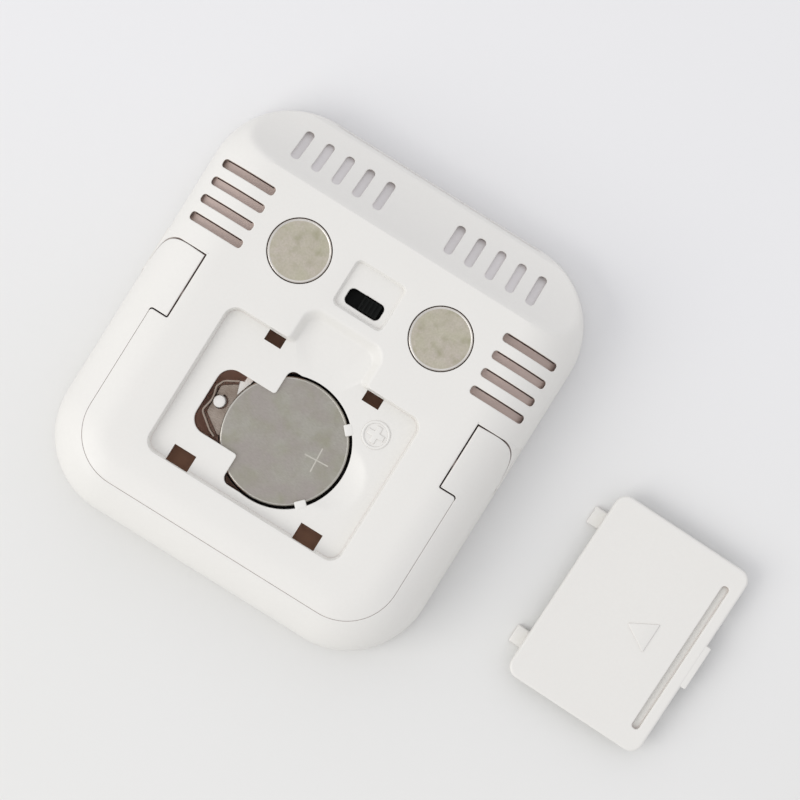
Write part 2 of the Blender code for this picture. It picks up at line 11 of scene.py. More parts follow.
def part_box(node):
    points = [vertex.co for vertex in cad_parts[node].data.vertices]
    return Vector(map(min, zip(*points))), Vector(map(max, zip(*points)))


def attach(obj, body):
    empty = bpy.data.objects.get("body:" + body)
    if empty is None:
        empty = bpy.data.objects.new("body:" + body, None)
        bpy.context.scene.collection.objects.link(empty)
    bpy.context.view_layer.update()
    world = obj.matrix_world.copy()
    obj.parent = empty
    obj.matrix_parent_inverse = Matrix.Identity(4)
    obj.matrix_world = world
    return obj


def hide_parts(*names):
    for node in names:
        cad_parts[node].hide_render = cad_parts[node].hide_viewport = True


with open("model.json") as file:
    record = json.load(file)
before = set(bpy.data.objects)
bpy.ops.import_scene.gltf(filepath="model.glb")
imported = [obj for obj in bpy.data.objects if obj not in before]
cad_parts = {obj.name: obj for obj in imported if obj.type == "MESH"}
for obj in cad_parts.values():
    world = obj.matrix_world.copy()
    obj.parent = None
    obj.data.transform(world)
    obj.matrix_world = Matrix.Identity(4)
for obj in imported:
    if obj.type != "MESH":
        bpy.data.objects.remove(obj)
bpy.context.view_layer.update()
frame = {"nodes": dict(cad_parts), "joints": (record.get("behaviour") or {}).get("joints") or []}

# Lengths below are millimetres in the row frame. Meshes are scaled by MM when they are made.
MM = 0.001


def node_box(name):
    """The lowest and highest corner of a CAD node, in millimetres."""
    low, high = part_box(name)
    return [value / MM for value in low], [value / MM for value in high]


REAR_LOW_CORNER, REAR_HIGH_CORNER = node_box("rear_housing")
FRONT_HIGH_CORNER = node_box("front_housing")[1]
MAGNET_LOW, MAGNET_HIGH = node_box("magnet_right")
CELL_LOW, CELL_HIGH = node_box("battery_can")
COVER_LOW, COVER_HIGH = node_box("battery_cover")
LENS_HIGH = node_box("display_lens")[1]
HINGE = next(joint["pos_m"] for joint in frame["joints"] if joint["name"] == "stand_hinge")

# The body's outer form.
HALF_X, HALF_Y, TOP_Z = REAR_HIGH_CORNER
BASE_Z = REAR_LOW_CORNER[2]
CURVE_Z = 5.5
CURVE_RUN = 9.9
CURVE_RISE = TOP_Z - CURVE_Z
CORNER = 13.5
CENTRE_X = HALF_X - CORNER
CENTRE_Y = HALF_Y - CORNER
UNROLL = (CURVE_RUN + CURVE_RISE) / 2
RIM_REACH = UNROLL * math.pi / 2
SCOOP_Y = 40.9
SCOOP_Z = 22.9
SCOOP_RADIUS = 17.4
SCOOP_BLEND = 1.1
SCOOP_EDGE_Z = 4.7
CREST_Y = 22.5
WALL = 1.6

# The stand and the gap round it.
HINGE_Y = HINGE[1] / MM
HINGE_Z = HINGE[2] / MM
GAP = 0.3
ARM_GAP = 0.02
TAB_GAP = 0.22
SWING_GAP = 0.1
CORNER_GAP = 0.15
EDGE = 0.22
SEAM_EDGE = 0.15
STAND_INNER_X = 27.8
TAB_INNER_X = 24.7
TAB_REACH = 6.9
TAB_SHOULDER = 4.1
POCKET_TOP_Y = 7.3
STAND_UNDER = CURVE_Z + GAP
ARM_END = 9.0
CORE_X = STAND_INNER_X - GAP
CORE_Y = GAP - 30.5
CORE_CORNER = 9.0 - GAP
TAB_GAP_X = TAB_INNER_X - GAP
TAB_GAP_Y = HINGE_Y - TAB_SHOULDER - GAP
TAB_FLOOR = 6.9
SHOULDER_RADIUS = 0.5
HEEL_RADIUS = 0.3

# Features of the back.
MAGNET_X = (MAGNET_LOW[0] + MAGNET_HIGH[0]) / 2
MAGNET_Y = (MAGNET_LOW[1] + MAGNET_HIGH[1]) / 2
MAGNET_RADIUS = (MAGNET_HIGH[0] - MAGNET_LOW[0]) / 2
POCKET_RADIUS = 5.08
POCKET_FLOOR = TOP_Z - 2.1
CELL_X = (CELL_LOW[0] + CELL_HIGH[0]) / 2
CELL_Y = (CELL_LOW[1] + CELL_HIGH[1]) / 2
CELL_RADIUS = (CELL_HIGH[0] - CELL_LOW[0]) / 2
RECESS_FLOOR = 14.3
RECESS_UNDER = 13.3
WELL_X = 0.73
WELL_Y = -10.67
WELL_RADIUS = 10.38
WELL_FLAT_LOW = 10.25
WELL_FLAT_HIGH = 9.94
WELL_FLOOR = 9.0
WELL_ROOF = 13.65
OPENING_FOOT = 12.6
NUB_X = -4.34
WINDOW_LEFT = -13.22
WINDOW_Y = (-16.24, -5.28)
SIDE_VENT_Y = (20.8, 17.65, 14.5, 11.35)
SIDE_VENT_X = (20.6, 30.1)
SIDE_VENT_DEPTH = (1.45, 1.1, 1.15, 1.35)
SIDE_VENT_WIDTH = 1.46
TOP_VENT_X = (6.45, 10.17, 13.89, 17.6, 21.3)
TOP_VENT_Y = (27.0, 32.15)
TOP_VENT_WIDTH = 1.47
PEG = (-11.1, -10.77, 0.97)
SLOT_X = 3.1
SLOT_Y = (12.26, 14.97)
SLOT_FLOOR = 13.6
SWITCH_FLOOR = 15.2
MARK_X = 12.05
MARK_Y = -2.4
MARK_RISE = 0.17
DISH_X = 9.4
DISH_Y = -11.3
DISH_REACH = 5.4
DISH_DEPTH = 1.2
DISH_RADIUS = (DISH_REACH**2 + DISH_DEPTH**2) / (2 * DISH_DEPTH)
SCREW_SPOTS = ((19.5, 24.5), (19.8, -24.5))
HOOK_X = 8.8
FOOT_X = 11.4

# Outlines


def arc(x, y, radius, start, end, steps):
    turns = np.radians(np.linspace(start, end, steps + 1))
    return [(x + radius * math.cos(a), y + radius * math.sin(a)) for a in turns]


def circle(x, y, radius, steps=96):
    return arc(x, y, radius, 0, 360, steps)[:-1]


def path(corners, steps=8):
    """An outline through corners (x, y, radius), where a radius of 0 is a plain point."""
    points = []
    for i, (x, y, radius) in enumerate(corners):
        if radius == 0:
            points.append((x, y))
            continue
        here = Vector((x, y))
        back = (Vector(corners[i - 1][:2]) - here).normalized()
        onward = (Vector(corners[(i + 1) % len(corners)][:2]) - here).normalized()
        half = back.angle(onward) / 2
        centre = here + (back + onward).normalized() * radius / math.sin(half)
        start = here + back * radius / math.tan(half) - centre
        end = here + onward * radius / math.tan(half) - centre
        first = math.atan2(start.y, start.x)
        sweep = (math.atan2(end.y, end.x) - first + math.pi) % (2 * math.pi) - math.pi
        turns = [first + sweep * k / steps for k in range(steps + 1)]
        points += [(centre.x + radius * math.cos(a), centre.y + radius * math.sin(a)) for a in turns]
    return points


def rounded(x, y, radius, steps=8):
    low_x, high_x = sorted(x)
    low_y, high_y = sorted(y)
    corners = ((high_x, low_y), (high_x, high_y), (low_x, high_y), (low_x, low_y))
    return path([(*corner, radius) for corner in corners], steps)


def offset(points, amount):
    """A closed anticlockwise outline moved outwards, with one amount or one for each point."""
    here = np.array(points, float)
    onward = np.roll(here, -1, 0) - here
    onward /= np.linalg.norm(onward, axis=1)[:, None]
    normal = np.stack([onward[:, 1], -onward[:, 0]], 1)
    before = np.roll(normal, 1, 0)
    mitre = (normal + before) / np.maximum(1 + (normal * before).sum(1), 0.3)[:, None]
    moved = here + mitre * np.broadcast_to(amount, len(here))[:, None]
    return [tuple(point) for point in moved]


def resampled(points, step, closed=True):
    """The same line with no stretch longer than step."""
    result = []
    for a, b in zip(points, points[1:] + points[:1] if closed else points[1:]):
        a, b = Vector(a), Vector(b)
        pieces = max(1, math.ceil((b - a).length / step - 1e-6))
        result += [tuple(a.lerp(b, k / pieces)) for k in range(pieces)]
    return result if closed else result + [tuple(points[-1])]


def at(outline, z):
    """A plan outline as a ring at one height."""
    return [(x, y, z) for x, y in outline]


def span(side, a, b):
    """A stretch of x on one side of the middle."""
    return sorted((side * a, side * b))


def round_over(radius, count):
    """A quarter turn in steps: what is left to go on the first axis, and what is gone on the second."""
    turns = [math.pi / 2 * k / count for k in range(count + 1)]
    return [(radius * (1 - math.sin(a)), radius * (1 - math.cos(a))) for a in turns]


def lip_steps(radius):
    """Offset and drop of each ring of a rounded lip, from the surface down to the wall."""
    return [(radius * 1.5, 0.0), *round_over(radius, 4)]


def inside(points, loops):
    """Which of an array of plane points lie in the area that the loops bound between them."""
    hits = np.zeros(len(points), int)
    for loop in loops:
        start = np.array(loop, float)
        for (ax, ay), (bx, by) in zip(start, np.roll(start, -1, 0)):
            if ay != by:
                spans = (ay > points[:, 1]) != (by > points[:, 1])
                hits += spans & (points[:, 0] < (bx - ax) * (points[:, 1] - ay) / (by - ay) + ax)
    return hits % 2 == 1


def clearance(points, loops):
    """Each point's distance to the nearest edge of the loops."""
    best = np.full(len(points), 1e9)
    for loop in loops:
        start = np.array(loop, float)
        for a, e in zip(start, np.roll(start, -1, 0) - start):
            share = np.clip(((points - a) @ e) / max(e @ e, 1e-12), 0, 1)
            best = np.minimum(best, np.linalg.norm(points - a - share[:, None] * e, axis=1))
    return best


def spread(loops, spacing, low, high):
    """Evenly spread plane points between two corners, inside the loops and clear of them."""
    rows = []
    for j, y in enumerate(np.arange(low[1], high[1], spacing * math.sqrt(3) / 2)):
        rows += [(x, y) for x in np.arange(low[0] + (j % 2) * spacing / 2, high[0], spacing)]
    rows = np.array(rows)
    rows = rows[inside(rows, loops)]
    return rows[clearance(rows, loops) > 0.6 * spacing]


# Skins: meshes grown from rings and filled areas


class Skin:
    """A mesh in the making. Its points are millimetres."""

    def __init__(self):
        self.points = []
        self.faces = []
        self.slots = []

    def strip(self, low, high, slot=0, closed=True):
        count = len(low)
        for i in range(count if closed else count - 1):
            j = (i + 1) % count
            self.faces.append((low[i], low[j], high[j], high[i]))
            self.slots.append(slot)

    def stack(self, rings, slot=0, closed=True, slots=None):
        """Joins rings in order. slots holds a material slot for each strip, where they differ."""
        rows = []
        for ring in rings:
            start = len(self.points)
            self.points += [tuple(point) for point in ring]
            rows.append(range(start, len(self.points)))
        for i, (low, high) in enumerate(zip(rows, rows[1:])):
            self.strip(low, high, slots[i] if slots else slot, closed)

    def wall(self, outline, *levels, slot=0, closed=True):
        """An upright wall on a plan outline."""
        self.stack([at(outline, z) for z in levels], slot, closed)

    def fill(self, loops, place, more=(), slot=0):
        """Triangles over the area that loops bound. A loop is plane points, and place lifts them."""
        flat = [Vector(point) for loop in loops for point in loop]
        edges = []
        for loop in loops:
            start = len(edges)
            edges += [(start + i, start + (i + 1) % len(loop)) for i in range(len(loop))]
        flat += [Vector(point) for point in more]
        made = delaunay_2d_cdt(flat, edges, [], 0, 1e-5)
        spots = np.array([point[:] for point in made[0]])
        faces = [face for face in made[2] if len(face) == 3]
        middles = spots[np.array(faces)].mean(1)
        start = len(self.points)
        self.points += [tuple(place(*spot)) for spot in spots]
        kept = [tuple(start + i for i in face) for face, on in zip(faces, inside(middles, loops)) if on]
        self.faces += kept
        self.slots += [slot] * len(kept)

    def level(self, loops, z, slot=0):
        """A flat face at one height."""
        self.fill(loops, lambda x, y: (x, y, z), slot=slot)

    def cap(self, *rings):
        """Flat faces over rings that each lie at one x."""
        for ring in rings:
            self.fill([[point[1:] for point in ring]], lambda y, z: (ring[0][0], y, z))

    def build(self, name, *materials, merge=0.002, sharp=35.0):
        mesh = bpy.data.meshes.new(name)
        scaled = [[value * MM for value in point] for point in self.points]
        mesh.from_pydata(scaled, [], self.faces)
        for polygon, slot in zip(mesh.polygons, self.slots):
            polygon.material_index = slot
        return finish_mesh(mesh, name, materials, merge, sharp)


def placed(name, data):
    """A new object in the scene."""
    made = bpy.data.objects.new(name, data)
    bpy.context.scene.collection.objects.link(made)
    return made


def finish_mesh(mesh, name, materials, merge=0.002, sharp=35.0):
    """Welds a mesh, turns its faces out, shades it and puts it in the scene."""
    shape = bmesh.new()
    shape.from_mesh(mesh)
    bmesh.ops.remove_doubles(shape, verts=shape.verts, dist=merge * MM)
    bmesh.ops.dissolve_degenerate(shape, edges=shape.edges, dist=1e-8)
    bmesh.ops.recalc_face_normals(shape, faces=shape.faces)
    shape.to_mesh(mesh)
    shape.free()
    for material in materials:
        mesh.materials.append(material)
    shade(mesh, sharp)
    return placed(name, mesh)


def shade(mesh, sharp=35.0):
    mesh.shade_smooth()
    mesh.set_sharp_from_angle(angle=math.radians(sharp))


def applied(piece, *steps):
    """Runs Boolean steps (operation, tool) on a piece, keeps the result and drops the tools."""
    for operation, tool in steps:
        step = piece.modifiers.new(tool.name, "BOOLEAN")
        step.operation = operation
        step.solver = "EXACT"
        step.object = tool
    bpy.context.view_layer.update()
    graph = bpy.context.evaluated_depsgraph_get()
    result = bpy.data.meshes.new_from_object(piece.evaluated_get(graph), depsgraph=graph)
    piece.modifiers.clear()
    piece.data = result
    for _, tool in steps:
        bpy.data.objects.remove(tool, do_unlink=True)
    shade(result)
    return piece


def extruded(name, outline, low, high, *materials, place=lambda a, b, level: (a, b, level)):
    """A closed prism of an outline. place turns (a, b, level) into (x, y, z)."""
    skin = Skin()
    for level in (low, high):
        skin.fill([outline], lambda a, b: place(a, b, level))
    skin.stack([[place(a, b, level) for a, b in outline] for level in (low, high)])
    return skin.build(name, *materials)


def side_extruded(name, outline, x, *materials):
    return extruded(name, outline, *x, *materials, place=lambda y, z, x: (x, y, z))


def rounded_box(name, x, y, z, radius, finish):
    """A block with rounded edges."""
    shape = bmesh.new()
    bmesh.ops.create_cube(shape, size=1.0)
    for vert in shape.verts:
        vert.co = [((a + b) / 2 + share * (b - a)) * MM for share, (a, b) in zip(vert.co, (x, y, z))]
    bmesh.ops.bevel(
        shape, geom=shape.edges[:], offset=radius * MM, segments=3, profile=0.5, affect="EDGES"
    )
    mesh = bpy.data.meshes.new(name)
    shape.to_mesh(mesh)
    shape.free()
    return finish_mesh(mesh, name, [finish], merge=0.0005)


def unions(finish, *rows):
    """Steps that add rounded blocks, each given as (name, x, y, z, edge radius)."""
    return [("UNION", rounded_box(*row, finish)) for row in rows]


def turned(name, profile, x, y, *materials, steps=96, slots=None):
    """A solid turned about an upright axis at x, y from a (radius, z) profile."""
    skin = Skin()
    skin.stack([at(circle(x, y, max(radius, 1e-4), steps), z) for radius, z in profile], slots=slots)
    return skin.build(name, *materials, merge=0.001)


# Finishes


def add_node(tree, kind, values=None, **settings):
    """A shader node with its settings and the values of its inputs."""
    node = tree.nodes.new(kind)
    for key, value in settings.items():
        setattr(node, key, value)
    for key, value in (values or {}).items():
        node.inputs[key].default_value = value
    return node


def spans(low, high, start, end):
    return {"From Min": start, "From Max": end, "To Min": low, "To Max": high}


class Finish:
    """A Principled material with procedural detail in object space. Sizes are millimetres."""

    def __init__(self, name, colour, roughness, metallic=0.0):
        self.material = bpy.data.materials.new(name)
        self.material.use_nodes = True
        self.tree = self.material.node_tree
        self.link = self.tree.links.new
        self.shader = self.tree.nodes["Principled BSDF"].inputs
        self.shader["Base Color"].default_value = (*colour, 1.0)
        self.shader["Roughness"].default_value = roughness
        self.shader["Metallic"].default_value = metallic
        self.colour = colour
        self.roughness = roughness
        self.space = self.tree.nodes.new("ShaderNodeTexCoord").outputs["Object"]

    def noise(self, size, detail=2.0, stretch=(1, 1, 1)):
        """A noise whose grains are about size across."""
        place = add_node(self.tree, "ShaderNodeMapping", {"Scale": stretch})
        self.link(self.space, place.inputs["Vector"])
        node = add_node(self.tree, "ShaderNodeTexNoise", {"Scale": 1 / (size * MM), "Detail": detail})
        self.link(place.outputs["Vector"], node.inputs["Vector"])
        return node.outputs["Fac"]

    def ranged(self, source, low, high, start=0.3, end=0.7):
        node = add_node(self.tree, "ShaderNodeMapRange", spans(low, high, start, end))
        self.link(source, node.inputs["Value"])
        return node.outputs["Result"]

    def tint(self, factor, second):
        """Lays a second colour over the base colour."""
        base = self.shader["Base Color"]
        node = add_node(self.tree, "ShaderNodeMix", data_type="RGBA")
        first_in, second_in = [s for s in node.inputs if s.type == "RGBA"]
        first_in.default_value = (*self.colour, 1.0)
        second_in.default_value = (*second, 1.0)
        if base.is_linked:
            self.link(base.links[0].from_socket, first_in)
        self.link(factor, node.inputs["Factor"])
        self.link(next(s for s in node.outputs if s.type == "RGBA"), base)
        return self

    def mottle(self, size, second, strength=1.0, detail=3.0, stretch=(1, 1, 1), start=0.3, end=0.7):
        """Clouds of a second colour, sparser where the noise has to reach further."""
        clouds = self.noise(size, detail, stretch)
        return self.tint(self.ranged(clouds, 0.0, strength, start, end), second)

    def painted_crease_shade(self, reach, shade_colour, strength):
        """Painted shade: tints the colour towards a darker colour where faces nearer than reach close in on
        each other, in creases and gaps.
        """
        node = add_node(self.tree, "ShaderNodeAmbientOcclusion", {"Distance": reach * MM}, samples=4)
        return self.tint(self.ranged(node.outputs["AO"], strength, 0.0, 0.1, 0.7), shade_colour)

    def uneven(self, size, change, stretch=(1, 1, 1)):
        """Roughness that varies by change either way."""
        source = self.noise(size, 3.0, stretch)
        value = self.ranged(source, self.roughness - change, self.roughness + change)
        self.link(value, self.shader["Roughness"])
        return self

    def grain(self, size, depth, detail=2.0, stretch=(1, 1, 1)):
        """A fine relief, depth deep."""
        node = add_node(self.tree, "ShaderNodeBump", {"Distance": depth * MM})
        self.link(self.noise(size, detail, stretch), node.inputs["Height"])
        normal = self.shader["Normal"]
        if normal.is_linked:
            self.link(normal.links[0].from_socket, node.inputs["Normal"])
        self.link(node.outputs["Normal"], normal)
        return self


def tinted(colour, share):
    return tuple(value * share for value in colour)


def plastic(name, colour, roughness=0.42, crease_shade=0.0, specular=0.5):
    made = Finish(name, colour, roughness)
    made.shader["Specular IOR Level"].default_value = specular
    made.mottle(9.0, tinted(colour, 0.985), 0.8).mottle(0.5, tinted(colour, 0.97), 0.5)
    if crease_shade:
        # Painted shade: a brownish dark laid into creases and gaps.
        made.painted_crease_shade(0.7, (0.42, 0.30, 0.27), crease_shade)
    return made.uneven(1.6, 0.05).grain(0.22, 0.006).grain(4.0, 0.01, 1.0).material


# The white plastic carries painted brownish shade in its creases and gaps.
WHITE = plastic("white_abs", (0.785, 0.773, 0.735), crease_shade=0.85)
# Brown on the housing's inner faces: painted shade for the dim inside of the case, in the brown of the
# board that shows through it.
INNER_SHADE_BROWN = plastic("inner_shade_brown", (0.66, 0.43, 0.33), 0.6)
SHELF = plastic("shelf_brown", (0.58, 0.30, 0.18), 0.6)
# Brownish painted shade for the floors of the side vents.
VENT_FLOOR_PAINTED_SHADE = plastic("vent_floor_painted_shade", (0.50, 0.40, 0.36), 0.55)
# Grey painted shade for the floors of the shallow top vents.
SHALLOW_VENT_PAINTED_SHADE = plastic("shallow_vent_painted_shade", (0.67, 0.645, 0.645), 0.5)
# Near-black painted shade for the deep gap round the cell, laid on the well's walls.
WELL_PAINTED_SHADE = plastic("well_painted_shade", (0.035, 0.028, 0.025), 0.6)
BLACK = plastic("black_acetal", (0.004, 0.0046, 0.004), 0.55, specular=0.12)


def metal(name, colour, roughness, brush=(1, 1, 1), mottle=None):
    made = Finish(name, colour, roughness, 1.0).mottle(2.6, mottle or tinted(colour, 0.86), 0.9)
    return made.uneven(0.8, 0.07, brush).grain(0.16, 0.003, 2.0, brush).material


def worn_nickel():
    made = Finish("plated_nickel", (0.60, 0.57, 0.455), 0.42, 1.0)
    made.mottle(2.4, (0.50, 0.48, 0.35), 0.9).mottle(3.1, (0.60, 0.53, 0.48), 0.8)
    made.mottle(1.6, (0.34, 0.33, 0.21), 0.8, 5.0, start=0.50, end=0.78)
    made.mottle(0.3, (0.44, 0.42, 0.32), 0.5)
    return made.uneven(0.8, 0.07).grain(0.16, 0.003).material


def brushed_steel():
    made = Finish("cell_steel", (0.465, 0.452, 0.395), 0.38, 1.0)
    made.mottle(2.8, (0.39, 0.378, 0.295), 1.0, start=0.4, end=0.65)
    made.mottle(3.7, (0.435, 0.395, 0.367), 1.0, start=0.4, end=0.65)
    made.mottle(0.5, (0.30, 0.28, 0.24), 0.6, 3.0, (1, 9, 1))
    return made.uneven(0.7, 0.08, (1, 7, 1)).grain(0.16, 0.003, 2.0, (1, 7, 1)).material


POLISHED = metal("polished_rim", (0.74, 0.71, 0.66), 0.42)
MAGNET_FACE = worn_nickel()
CELL_FACE = brushed_steel()
ETCHED = metal("cell_etching", (0.62, 0.60, 0.54), 0.6)
CELL_RIM = metal("cell_rim", (0.56, 0.54, 0.49), 0.36)
CONTACT = metal("contact_bronze", (0.46, 0.39, 0.33), 0.3, (1, 5, 1), (0.30, 0.24, 0.19))
SPRING = metal("spring_steel", (0.60, 0.57, 0.53), 0.27, (1, 8, 1))
SCREW = metal("screw_steel", (0.52, 0.52, 0.52), 0.35)


def simple(name, colour, roughness, second, size, depth):
    made = Finish(name, colour, roughness)
    return made.mottle(size, second, 0.8).uneven(size / 2, 0.06).grain(size / 4, depth).material


SEAL = simple("seal_rubber", (0.045, 0.045, 0.047), 0.6, (0.07, 0.07, 0.07), 1.2, 0.01)
BOARD = simple("board_brown", (0.68, 0.38, 0.24), 0.4, (0.60, 0.32, 0.19), 1.5, 0.01)
CHIP = simple("chip_epoxy", (0.015, 0.015, 0.017), 0.5, (0.03, 0.03, 0.03), 0.6, 0.008)
CERAMIC = simple("capacitor_ceramic", (0.42, 0.30, 0.18), 0.45, (0.36, 0.25, 0.15), 0.4, 0.006)
RUBBER = simple("zebra_rubber", (0.03, 0.03, 0.03), 0.7, (0.12, 0.11, 0.10), 0.5, 0.01)
BACKING = simple("reflector_white", (0.72, 0.72, 0.70), 0.5, (0.66, 0.66, 0.64), 2.0, 0.01)
LCD = simple("lcd_glass", (0.40, 0.44, 0.39), 0.16, (0.36, 0.41, 0.36), 3.0, 0.002)


def lens_finish():
    made = Finish("lens_acrylic", (0.90, 0.92, 0.92), 0.05)
    made.shader["Transmission Weight"].default_value = 0.92
    made.shader["IOR"].default_value = 1.49
    return made.uneven(5.0, 0.02).grain(3.0, 0.002, 1.0).material


LENS = lens_finish()

# The outer form of the back, and its flat map


def outward(x, y):
    """How far a plan point lies outside the flat middle of the back, and in which direction."""
    radius = CORNER - CURVE_RUN
    over_x = abs(x) - CENTRE_X
    over_y = abs(y) - CENTRE_Y
    side_x = math.copysign(1.0, x)
    side_y = math.copysign(1.0, y)
    if over_x > 0 and over_y > 0:
        length = math.hypot(over_x, over_y)
        return length - radius, (side_x * over_x / length, side_y * over_y / length)
    if over_x > over_y:
        return over_x - radius, (side_x, 0.0)
    return over_y - radius, (0.0, side_y)


def unrolled(x, y):
    """The flat-map place of a plan point: the curved side is laid out flat."""
    reach, (nx, ny) = outward(x, y)
    if reach <= 0:
        return x, y
    more = UNROLL * math.asin(min(reach / CURVE_RUN, 1.0)) - reach
    return x + nx * more, y + ny * more


def scoop_height(y):
    away = min(SCOOP_Y - y, SCOOP_RADIUS - 0.01)
    return SCOOP_Z - math.sqrt(SCOOP_RADIUS**2 - away**2)


def soft_min(a, b, blend):
    share = max(blend - abs(a - b), 0.0) / blend
    return min(a, b) - share * share * blend / 4


def on_form(u, v):
    """The point of the outer form at a flat-map place."""
    reach, (nx, ny) = outward(u, v)
    turn = min(max(reach, 0.0) / UNROLL, math.pi / 2)
    back = max(reach, 0.0) - CURVE_RUN * math.sin(turn)
    x = u - nx * back
    y = v - ny * back
    z = CURVE_Z + CURVE_RISE * math.cos(turn) - max(reach - RIM_REACH, 0.0)
    if y > SCOOP_Y - SCOOP_RADIUS - 2.0:
        steep = y < SCOOP_Y - SCOOP_RADIUS + 0.02
        z = soft_min(z, 40.0 if steep else scoop_height(y), SCOOP_BLEND)
        z = soft_min(z, SCOOP_EDGE_Z + 3.0 * (HALF_Y - y), 0.7)
    return x, y, z


def form_height(x, y):
    return on_form(*unrolled(x, y))[2]


def pocket(skin, outline, lip, floor, height=form_height, foot=0.0):
    """A hollow in a surface, with a rounded lip. floor and height give a level at a plan point.

    Returns the lip's outer ring and the floor's outline, both in plan."""
    rings = []
    for grow, drop in lip_steps(lip):
        rings.append([(x, y, height(x, y) - drop) for x, y in offset(outline, grow)])
    skin.stack(rings)
    inner = [rings[-1]]
    last = outline
    if foot:
        for left, gone in round_over(foot, 4):
            inner.append([(x, y, floor(x, y) + left) for x, y in offset(outline, -gone)])
        last = offset(outline, -foot * 1.5)
    inner.append([(x, y, floor(x, y)) for x, y in last])
    skin.stack(inner)
    return offset(outline, lip * 1.5), last


def soft_wall(skin, shape, low, outer, inner, lip=0.15, steps=12):
    """A wall from the top that rolls over a small lip and runs straight down to a crisp foot.

    shape gives the outline at a share of the way down. Returns the plan of its top and its foot."""
    depth = TOP_Z - low
    bends = [math.radians(16 * k) for k in range(6)]
    profile = [(lip * math.sin(bend), lip * (1 - math.cos(bend))) for bend in bends]
    run, fall = profile[-1]
    for share in [k / steps for k in range(1, steps + 1)]:
        profile.append((run + (outer + inner - run) * share, fall + (depth - fall) * share))
    rings = []
    for across, down in profile:
        share = 0.5 - math.sin(math.asin(1 - 2 * min(down / depth, 1.0)) / 3)
        rings.append(at(offset(shape(share), outer - across), TOP_Z - down))
    skin.stack(rings)
    return [[point[:2] for point in ring] for ring in (rings[0], rings[-1])]


def boss(skin, outline, base, height, side=1, soft=0.05):
    """A raised pad's rounded wall, or with side -1 that of a hole in a pad. Returns its top edge."""
    rings = [at(outline, base)]
    for left, gone in round_over(soft, 3):
        rings.append(at(offset(outline, -side * gone), base + height - left))
    skin.stack(rings)
    return offset(outline, -side * soft)


def rounded_edge(skin, edge, down, radii):
    """Rounds an edge of the flat map, with a way down and a radius at each of its points.

    Returns the lowest ring, and the upper edge in the flat map."""
    radii = np.array(radii)
    rings = []
    for grow, drop in lip_steps(1.0):
        rows = zip(offset(edge, -grow * radii), down, radii)
        rings.append([tuple(Vector(on_form(*spot)) + way * drop * size) for spot, way, size in rows])
    skin.stack(rings)
    return rings[-1], offset(edge, -1.5 * radii)


# The back housing


def silhouette(inset=0.0):
    """The back housing's outline, anticlockwise from the right end of the stand's pocket."""
    radius = CORNER - inset
    points = [(HALF_X - inset, POCKET_TOP_Y)]
    points += arc(CENTRE_X, CENTRE_Y, radius, 0, 90, 40)
    points += arc(-CENTRE_X, CENTRE_Y, radius, 90, 180, 40)
    points.append((inset - HALF_X, POCKET_TOP_Y))
    upper = len(points)
    points += arc(-CENTRE_X, -CENTRE_Y, radius, 180, 270, 40)
    points += arc(CENTRE_X, -CENTRE_Y, radius, 270, 360, 40)
    return points, upper


def core_line(top=POCKET_TOP_Y):
    """The edge along the stand, from the left arm's upper end round the bottom to the right's."""
    corners = [(-TAB_GAP_X, top, 0), (-TAB_GAP_X, TAB_GAP_Y, HEEL_RADIUS)]
    corners += [(-CORE_X, TAB_GAP_Y, SHOULDER_RADIUS), (-CORE_X, CORE_Y, CORE_CORNER)]
    corners += [(-x, y, radius) for x, y, radius in reversed(corners)]
    return resampled(path(corners, 20), 1.2, closed=False)


def seam_edge(y):
    """How soft an edge beside the stand is: tight along the arms and fuller round the tabs."""
    share = min(max((y - TAB_GAP_Y) / 3.0, 0.0), 1.0)
    return SEAM_EDGE + (EDGE - SEAM_EDGE) * share


def stand_inner(top):
    """The stand's inner edge: close to the body along the arms and clear of it round the tabs."""
    line = core_line(top - TAB_GAP)
    start = TAB_GAP_Y - SHOULDER_RADIUS
    shares = [min(max((y - start) / (SHOULDER_RADIUS * 0.8), 0.0), 1.0) for x, y in line]
    return offset(line, [ARM_GAP + (TAB_GAP - ARM_GAP) * share for share in shares])


